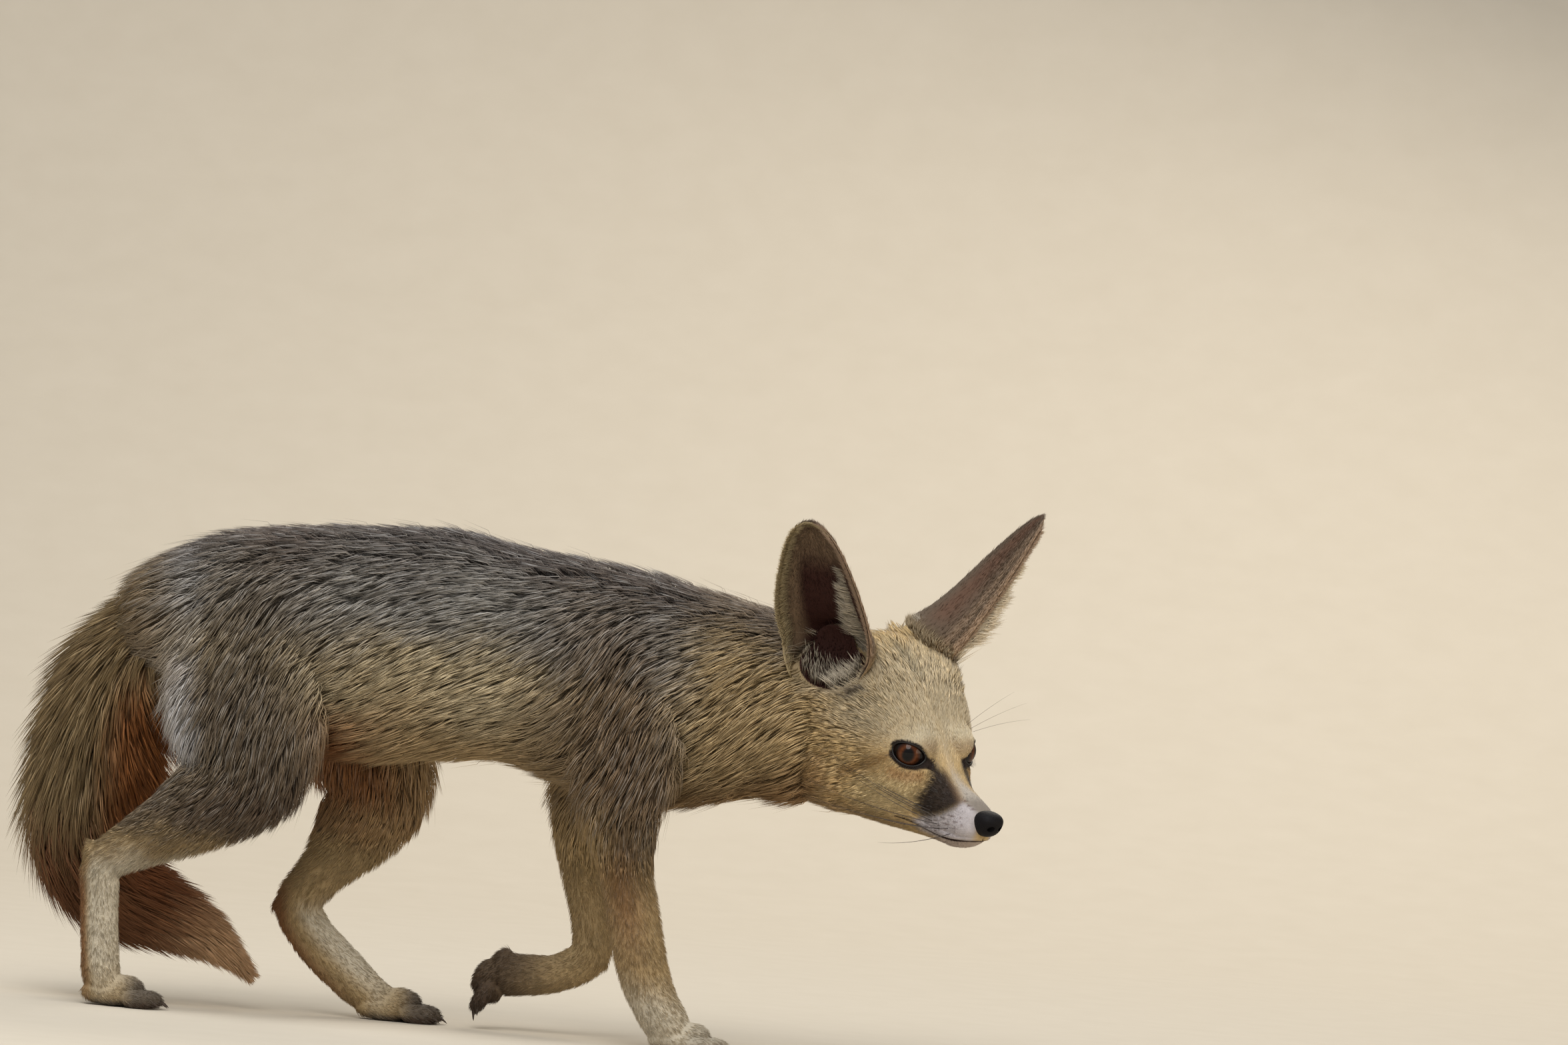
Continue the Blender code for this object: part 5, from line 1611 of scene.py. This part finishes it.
def tail_at(course, distance):
    """The tail's place, side, outward way, way on, and radii at each distance from the root."""
    known, rows, ways = course
    place = np.stack([np.interp(distance, known, rows[:, k]) for k in range(3)], axis=1)
    along = unit(np.stack([np.interp(distance, known, ways[:, k]) for k in range(3)], axis=1))
    place = place + along * np.maximum(distance - known[-1], 0.0)[:, None]
    side = unit(np.array((0.0, 1.0, 0.0)) - along * along[:, 1:2])
    core, coat = (np.interp(distance, known, rows[:, k]) for k in (3, 4))
    return place, side, np.cross(along, side), along, core, coat


def tail_tone(distance, angle, z):
    """Grey-buff on the back of the tail, rust in front, dark red-brown low down, and a pale tip."""
    ahead = np.sin(angle)
    tone = np.tile(TAIL_GREY, (len(distance), 1))
    tone = painted(
        tone,
        (TAIL_RUST, ramp(ahead, -0.1, 0.6) * ramp(distance, 3.0, 7.0)),
        (TAIL_LOW, 0.9 * ramp(z, 11.0, 7.0)),
        (TAIL_TIP, ramp(distance, 18.5, 23.5)),
    )
    return tone


def tail_skin():
    """The dense inner form of the tail."""
    course = tail_course()
    stations = np.linspace(0.0, course[0][-1], 60)
    place, side, out, _, core, _ = tail_at(course, stations)
    rings = []
    for middle, across, away, reach in zip(place, side, out, core):
        ways = [across * math.cos(a) * TAIL_FLATTENED + away * math.sin(a) for a in turns(24)]
        rings.append([Vector(middle + way * reach * 0.92) for way in ways])
    made = skin_rings("tail_skin", rings)
    points, _, _ = arrays_of(made)
    nearest = np.array([np.argmin(np.linalg.norm(place - p, axis=1)) for p in points])
    ahead = ((points - place[nearest]) * out[nearest]).sum(axis=1) / np.maximum(core[nearest], 0.1)
    tone = tail_tone(stations[nearest], np.arcsin(np.clip(ahead, -1, 1)), points[:, 2])
    write_colours(made.data, tone * 0.6)
    return made


def unrolled(distance, angle):
    """Where a tuft's root is on an even tube."""
    return distance, 3.0 * math.cos(angle), 3.0 * math.sin(angle)


# The tufts of the tail, about how many make a lock, and the most in a piece.
TAIL_TUFTS = 19000
TAIL_LOCK = 14
MOST_TAIL_TUFTS = 12000


def tail_tufts(chance, thinned):
    """The long hair of the tail, which leaves the core and bends back along it."""
    course = tail_course()
    total = course[0][-1]
    count = int(TAIL_TUFTS * thinned)
    start = total * chance.random(count * 2) ** 0.95
    core = tail_at(course, start)[4]
    keep = chance.random(count * 2) < (0.35 + core / 2.6)
    start = start[keep][:count]
    count = len(start)
    locks = max(1, count // TAIL_LOCK)
    lock_start, lock_angle = total * chance.random(locks), 2 * np.pi * chance.random(locks)
    tree = KDTree(locks)
    for i in range(locks):
        tree.insert(unrolled(lock_start[i], lock_angle[i]), i)
    tree.balance()
    angle = 2 * np.pi * chance.random(count)
    lock = np.array([tree.find(unrolled(s, a))[1] for s, a in zip(start, angle)])
    turn = np.angle(np.exp(1j * (lock_angle[lock] - angle)))
    root_coat = tail_at(course, start)[5]
    lock_length = chance.uniform(0.8, 1.15, locks)[lock]
    length = np.maximum(root_coat, 1.4) * 1.1 * lock_length * chance.uniform(0.8, 1.15, count)
    length = np.minimum(length, total - start + 0.5 - 2.0 * chance.random(count) ** 2)
    length = np.maximum(length, 0.7)
    reach = chance.uniform(0.6, 1.0, count) * chance.uniform(0.9, 1.08, locks)[lock]
    stages, outs = [], []
    for share in (0.0, 0.5, 1.0):
        place, side, out, _, core, coat = tail_at(course, start + length * share)
        coat = np.maximum(coat, 0.55 * root_coat)
        now = angle + turn * 0.75 * share + chance.normal(0, 0.02, count)
        way = side * (np.cos(now) * TAIL_FLATTENED)[:, None] + out * np.sin(now)[:, None]
        coat = coat * (1.0 + 0.26 * ramp(np.sin(now), 0.1, 0.8) * ramp(place[:, 2], 7.0, 10.0))
        rise = 0.8 * core + (coat * reach - 0.8 * core) * share**0.8
        stages.append(place + way * rise[:, None])
        outs.append(way)
    stages = np.stack(stages, axis=1)
    stages[:, :, 2] = np.maximum(stages[:, :, 2], 0.06)
    width = chance.uniform(0.08, 0.14, count) * (1.0 - 0.4 * ramp(start, total - 6.0, total - 2.0))
    breadths = np.stack([width * 0.8, width], axis=1)
    tone = tail_tone(start + length * 0.5, angle, stages[:, 1, 2])
    dark = (chance.random(count) > 0.72) * ramp(stages[:, 2, 2], 7.0, 10.0)
    base = tone * chance.normal(1.0, 0.13, (count, 1)).clip(0.7, 1.35)
    # Darker at the root than at the tip: partly the hair's own banding, partly painted shade deep in the
    # coat.
    tones = np.stack([base * 0.62, base * 1.02, mixed(base * 1.12, DARK_TIP, 0.7 * dark)], axis=1)
    uv = np.stack([0.05 + 0.9 * start / total, 0.05 + 0.9 * (angle % (2 * np.pi)) / (2 * np.pi)], axis=1)
    arrays = (stages, breadths, unit(stages[:, 2] - stages[:, 0]), unit(outs[1]), tones, uv)
    in_pieces("coat_tail", arrays, np.arange(count), math.ceil(count / MOST_TAIL_TUFTS))


def new_material(name, roughness, specular):
    """A material with its node tree and its shader."""
    made = bpy.data.materials.new(name)
    made.use_nodes = True
    shader = made.node_tree.nodes["Principled BSDF"]
    set_inputs(shader, {"Roughness": roughness, "Specular IOR Level": specular})
    return made, made.node_tree, shader


def set_inputs(target, values):
    for key, value in values.items():
        target.inputs[key].default_value = value


def node(tree, kind, values, links, **settings):
    """A node with its settings, the values of its inputs, and what its inputs are linked from."""
    made = tree.nodes.new(kind)
    for key, value in settings.items():
        setattr(made, key, value)
    set_inputs(made, values)
    for key, source in links.items():
        tree.links.new(source, made.inputs[key])
    return made


def textured(tree, kind, scale, output, **settings):
    """A texture in the object's own places."""
    place = node(tree, "ShaderNodeTexCoord", {}, {})
    made = node(tree, kind, {"Scale": scale}, {"Vector": place.outputs["Object"]}, **settings)
    return made.outputs[output]


def noise(tree, scale):
    made = textured(tree, "ShaderNodeTexNoise", scale, "Fac")
    made.node.inputs["Detail"].default_value = 3.0
    return made


def mapped(tree, value, low, high):
    made = node(tree, "ShaderNodeMapRange", {"To Min": low, "To Max": high}, {"Value": value})
    return made.outputs["Result"]


def bump(tree, shader, height, strength, distance):
    values = {"Strength": strength, "Distance": distance}
    made = node(tree, "ShaderNodeBump", values, {"Height": height})
    tree.links.new(made.outputs["Normal"], shader.inputs["Normal"])


def marked_material(name, roughness, specular, low, high, scale, bumpy=None):
    """A material that takes the markings from the mesh and varies them with fine noise."""
    made, tree, shader = new_material(name, roughness, specular)
    marks = node(tree, "ShaderNodeAttribute", {}, {}, attribute_name="coat")
    links = {0: marks.outputs["Color"], "Scale": mapped(tree, noise(tree, scale), low, high)}
    shaded = node(tree, "ShaderNodeVectorMath", {}, links, operation="SCALE")
    tree.links.new(shaded.outputs["Vector"], shader.inputs["Base Color"])
    if bumpy:
        bump(tree, shader, noise(tree, bumpy), 0.6, 0.0006)
    return made


def eye_material():
    """Amber iris with a dark pupil and rim, under a glossy cornea. The mesh carries the eye's own colours."""
    made = marked_material("eye", 0.5, 0.05, 0.75, 1.25, 900.0)
    set_inputs(made.node_tree.nodes["Principled BSDF"], {"Coat Weight": 0.4, "Coat Roughness": 0.02})
    return made


def nose_material():
    """Damp black leather with fine pebbles."""
    made, tree, shader = new_material("nose_leather", 0.5, 0.1)
    set_inputs(shader, {"Base Color": (0.007, 0.006, 0.007, 1.0)})
    pebbles = textured(tree, "ShaderNodeTexVoronoi", 1500.0, "Distance", feature="SMOOTH_F1")
    bump(tree, shader, pebbles, 0.5, 0.0003)
    tree.links.new(mapped(tree, noise(tree, 300.0), 0.5, 0.7), shader.inputs["Roughness"])
    return made


def two_toned(name, roughness, specular, scale, first, second):
    """A material that noise varies between two colours."""
    made, tree, shader = new_material(name, roughness, specular)
    values = {"A": (*first, 1.0), "B": (*second, 1.0)}
    mix = node(tree, "ShaderNodeMix", {}, {}, data_type="RGBA")
    set_inputs(mix, values)
    tree.links.new(noise(tree, scale), mix.inputs["Factor"])
    tree.links.new(mix.outputs["Result"], shader.inputs["Base Color"])
    return made


def horn_material(name, colour, roughness):
    """Claws and whiskers, with faint streaks."""
    return two_toned(name, roughness, 0.5, 500.0, np.array(colour) * 0.6, np.array(colour) * 1.4)


MATERIALS = {
    "fur": marked_material("fur", 0.62, 0.25, 0.85, 1.15, 260.0),
    "skin": marked_material("skin", 0.75, 0.25, 0.8, 1.1, 400.0, 1400.0),
    "eye": eye_material(),
    "nose": nose_material(),
    "claw": horn_material("claw", srgb(60, 48, 40), 0.35),
    "whisker": horn_material("whisker", srgb(48, 38, 34), 0.5),
    "lid": horn_material("lid_edge", srgb(16, 12, 12), 0.5),
    "floor": two_toned("floor", 0.9, 0.2, 40.0, (0.56, 0.5, 0.41), (0.6, 0.54, 0.45)),
}


def keep(obj, material, slot, *nodes):
    """Shows a finished piece: its material and the solids that it stands for.
    The slot is not used.
    """
    if obj.name in HELPERS.objects:
        HELPERS.objects.unlink(obj)
        SHOWN.objects.link(obj)
    obj.data.materials.clear()
    obj.data.materials.append(MATERIALS[material])
    obj.data.shade_smooth()
    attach(obj, BODY)
    if nodes:
        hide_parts(*nodes)


def eyeball(name, hand):
    """A ball whose cornea stands out over a painted iris."""
    centre, out, inner, high = eye_frame(hand)
    bm = bmesh.new()
    bmesh.ops.create_uvsphere(bm, u_segments=72, v_segments=60, radius=EYE_RADIUS)
    turn = Matrix((inner, high, out)).transposed()
    if turn.determinant() < 0:
        turn = Matrix((-inner, high, out)).transposed()
    edge = math.asin(IRIS_RADIUS / EYE_RADIUS)
    tones = []
    for vert in bm.verts:
        away = math.acos(max(-1.0, min(1.0, vert.co.z / EYE_RADIUS)))
        across = math.hypot(vert.co.x / PUPIL_RADIUS, vert.co.y / (PUPIL_RADIUS * 1.25))
        front = vert.co.z > 0
        tones.append((away / edge, across if front else 9.0, math.atan2(vert.co.y, vert.co.x)))
        if away < edge:
            vert.co *= 1.0 + CORNEA_RISE * (1.0 - (away / edge) ** 2) ** 2
    bmesh.ops.transform(bm, matrix=Matrix.Translation(centre) @ turn.to_4x4(), verts=bm.verts)
    made = new_object(name, bm)
    ring, across, angle = np.array(tones).T
    streak = 0.5 + 0.5 * np.sin(angle * 23.0) * np.sin(angle * 9.0 + 1.0)
    tone = np.tile(IRIS, (len(ring), 1)) * (0.75 + 0.4 * streak)[:, None]
    tone = painted(
        tone,
        (IRIS_EDGE, ramp(ring, 0.5, 0.85)),
        (PUPIL, ramp(across, 1.4, 0.7)),
        (PUPIL, ramp(ring, 0.84, 0.98)),
        (EYE_CORNER, ramp(ring, 1.05, 1.4)),
    )
    write_colours(made.data, tone)
    return made


def lid_edges():
    """The black wet edge round each eye, wider at the inner corner."""
    rims = []
    for hand in HANDS:
        line = lid_line(hand, EYE_RADIUS + LID_THICKNESS * 0.55, RIM_POINTS)
        centre = eye_frame(hand)[0]
        bm = bmesh.new()
        loops = []
        for i, angle in enumerate(turns(RIM_POINTS)):
            along = (line[(i + 1) % RIM_POINTS] - line[i - 1]).normalized()
            out = (line[i] - centre).normalized()
            side = along.cross(out)
            radius = 0.045 + 0.035 * max(0.0, math.cos(angle)) ** 3
            ways = [out * math.sin(a) * 0.8 + side * math.cos(a) for a in turns(10)]
            loops.append([bm.verts.new(line[i] + way * radius) for way in ways])
        for low, high in zip(loops, loops[1:] + loops[:1]):
            for k in range(10):
                bm.faces.new((low[k], low[(k + 1) % 10], high[(k + 1) % 10], high[k]))
        rims.append(new_object("rim", bm))
    return joined("lid_edges", rims)


def nose_piece():
    """The nose with its nostrils and the groove between them."""
    made = nose_form("nose_leather", 0.0, 96)
    cuts = [tube("groove", [head_point(f, 0.0, u) for f, u in NOSE_GROOVE], NOSE_GROOVE_RADIUS)]
    forward, side, up = NOSTRIL
    for hand in HANDS:
        turn = head_turn() @ Matrix.Rotation(math.radians(-NOSTRIL_TURN * hand), 3, "Z")
        cuts.append(ellipsoid("nostril", head_point(forward, hand * side, up), NOSTRIL_RADII, turn))
    combine(made, cuts, "DIFFERENCE")
    return made


def claws():
    """Curved, tapered claws, one on each toe."""
    made = []
    for name in PAWS:
        middle, turn, size = paw_frame(name)
        for forward, side in TOE_PLACES:
            points = []
            for k in range(9):
                share = k / 8
                ahead = (forward + 0.55) * size + CLAW_LENGTH * share
                drop = -0.2 * size - 0.3 * share**1.8
                points.append(middle + turn @ Vector((ahead, side * size, drop)))
            made.append(tube("claw", points, lambda share: CLAW_RADIUS * (1 - share) ** 0.7 + 0.008))
    return joined("claws", made)


# The whiskers of one side: root as forward, side and up, and where the tip is.
WHISKERS = (
    ((2.2, 1.4, -2.25), (-3.9, 4.6, -0.65)),
    ((2.25, 1.4, -2.5), (-3.3, 4.4, -0.9)),
    ((2.5, 1.35, -2.4), (-2.7, 4.3, -0.9)),
    ((2.4, 1.38, -2.7), (-2.2, 4.1, -1.3)),
    ((2.7, 1.3, -2.75), (-3.8, 4.8, -2.6)),
    ((2.9, 1.25, -2.95), (-3.4, 5.0, -3.3)),
    ((3.4, 1.15, -2.75), (0.2, 4.3, -2.9)),
    ((3.6, 1.1, -2.95), (1.2, 3.6, -4.2)),
)
# The fine hairs over the eye, in the same terms.
BROWS = (
    ((0.1, 1.9, 1.25), (1.6, 3.9, 3.1)),
    ((-0.1, 1.75, 1.35), (1.3, 3.2, 3.6)),
    ((0.25, 2.0, 1.15), (1.8, 4.2, 2.3)),
)


def bent_hair(root, tip, sag, radius, count=14):
    """A tapering hair from root to tip that bows."""
    root, tip = head_point(*root), head_point(*tip)
    points = []
    for k in range(count):
        share = k / (count - 1)
        bow = head_way(0.25, 0, 1.0) * sag * 4 * share * (1 - share)
        points.append(root.lerp(tip, share) - bow)
    return tube("hair", points, lambda share: radius * (1 - share) ** 0.8 + 0.0015, 5)


def whiskers():
    made = []
    for hand in HANDS:
        for hairs, sag, radius in ((WHISKERS, 0.22, 0.02), (BROWS, -0.12, 0.007)):
            for hair in hairs:
                start, end = ((f, hand * s, u) for f, s, u in hair)
                made.append(bent_hair(start, end, sag, radius))
    return joined("whiskers", made)


def lashes(chance):
    """Short dark hairs on the upper lids."""
    made = []
    for hand in HANDS:
        _, out, inner, high = eye_frame(hand)
        way = (out * 0.9 + high * 0.5 - inner * 0.35).normalized()
        for point in lid_line(hand, EYE_RADIUS + LID_THICKNESS + 0.04, 60)[6:26]:
            end = point + way * chance.uniform(0.12, 0.22)
            line = [point - way * 0.05, point.lerp(end, 0.5) - high * 0.03, end]
            made.append(tube("lash", line, lambda share: 0.009 * (1 - share) + 0.002, 4))
    return joined("lashes", made)


def make_floor():
    """A pale floor that sweeps up behind the fox."""
    bm = bmesh.new()
    rows = [(-14.0, 0.0), (SWEEP_START, 0.0)]
    for k in range(1, 13):
        angle = math.pi / 2 * k / 12
        rows.append((SWEEP_START + SWEEP_RADIUS * math.sin(angle), SWEEP_RADIUS * (1 - math.cos(angle))))
    rows.append((SWEEP_START + SWEEP_RADIUS, 6.0))
    grid = [[bm.verts.new((x, y, z)) for x in (-7.0, 7.0)] for y, z in rows]
    for low, high in zip(grid, grid[1:]):
        bm.faces.new((low[0], low[1], high[1], high[0]))
    made = object_of("floor", bm, SHOWN)
    made.data.shade_smooth()
    made.data.materials.append(MATERIALS["floor"])


def area_light(name, place, towards, size, power, colour):
    light = bpy.data.lights.new(name, "AREA")
    light.shape = "DISK"
    light.size = size
    light.energy = power
    light.color = colour
    made = linked(name, light, SHOWN)
    made.location = place
    made.rotation_mode = "QUATERNION"
    made.rotation_quaternion = (Vector(towards) - Vector(place)).to_track_quat("-Z", "Y")


def make_lights():
    """Soft shade: a broad cool sky, a fill from the camera's side and a warm bounce from the sand."""
    middle = (0.0, 0.0, 0.12)
    area_light("sky", (-0.3, -0.5, 2.4), middle, 2.2, 36.0, (0.93, 0.97, 1.0))
    area_light("fill", (-0.5, -2.3, 2.2), middle, 2.0, 54.0, (1.0, 0.98, 0.94))
    area_light("bounce", (1.9, -0.9, 0.35), middle, 1.2, 10.0, (1.0, 0.86, 0.66))
    area_light("behind", (0.6, 1.8, 1.4), middle, 1.4, 18.0, (1.0, 0.94, 0.84))
    world = bpy.data.worlds.new("shade")
    world.use_nodes = True
    set_inputs(world.node_tree.nodes["Background"], {"Color": (0.96, 0.95, 0.93, 1.0), "Strength": 0.35})
    bpy.context.scene.world = world
    bpy.context.scene.view_settings.view_transform = "Standard"


def make_camera():
    """The photograph's view: level with the fox, from its right, rolled as the photograph is."""
    ahead = Vector((0.0, math.cos(VIEW_DROP), -math.sin(VIEW_DROP)))
    level = ahead.cross(Vector((0, 0, 1))).normalized()
    upright = level.cross(ahead)
    right = level * math.cos(VIEW_ROLL) + upright * math.sin(VIEW_ROLL)
    up = upright * math.cos(VIEW_ROLL) - level * math.sin(VIEW_ROLL)
    data = bpy.data.cameras.new("camera")
    data.sensor_width = SENSOR
    data.lens = SENSOR * VIEW_DISTANCE / VIEW_WIDTH
    data.clip_end = 100.0
    made = linked("camera", data, SHOWN)
    place = Matrix((right, up, -ahead)).transposed().to_4x4()
    place.translation = VIEW_TARGET * CM + SHIFT - ahead * VIEW_DISTANCE
    made.matrix_world = place
    bpy.context.scene.camera = made


def dress():
    chance = np.random.default_rng(SEED)
    thinned = 1.0
    make_camera()
    skin, mouths = make_skin()
    paint_skin(skin, mouths)
    flesh = [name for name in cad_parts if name.split("_")[0] in
             ("head", "neck", "torso", "hindleg", "hindpaw", "foreleg", "forepaw")]
    keep(skin, "skin", "coat", *flesh)
    tree = surface_tree(skin)
    fur_on(skin, mouths, chance, thinned)
    for name, hand in (("ear_right", -1), ("ear_left", 1)):
        keep(ear_shell(f"{name}_skin", hand), "skin", "coat", name)
        ear_tufts(f"coat_{name}", hand, tree, chance, thinned)
        eye = name.replace("ear", "eye")
        keep(eyeball(f"{eye}_ball", hand), "eye", "eyes", eye)
    keep(tail_skin(), "skin", "tail", "tail_root", "tail_middle", "tail_tip")
    tail_tufts(chance, thinned)
    keep(nose_piece(), "nose", "nose", "nose")
    keep(lid_edges(), "lid", "nose")
    keep(claws(), "claw", "claws")
    keep(whiskers(), "whisker", "whiskers")
    keep(lashes(chance), "whisker", "whiskers")
    make_floor()
    make_lights()


dress()
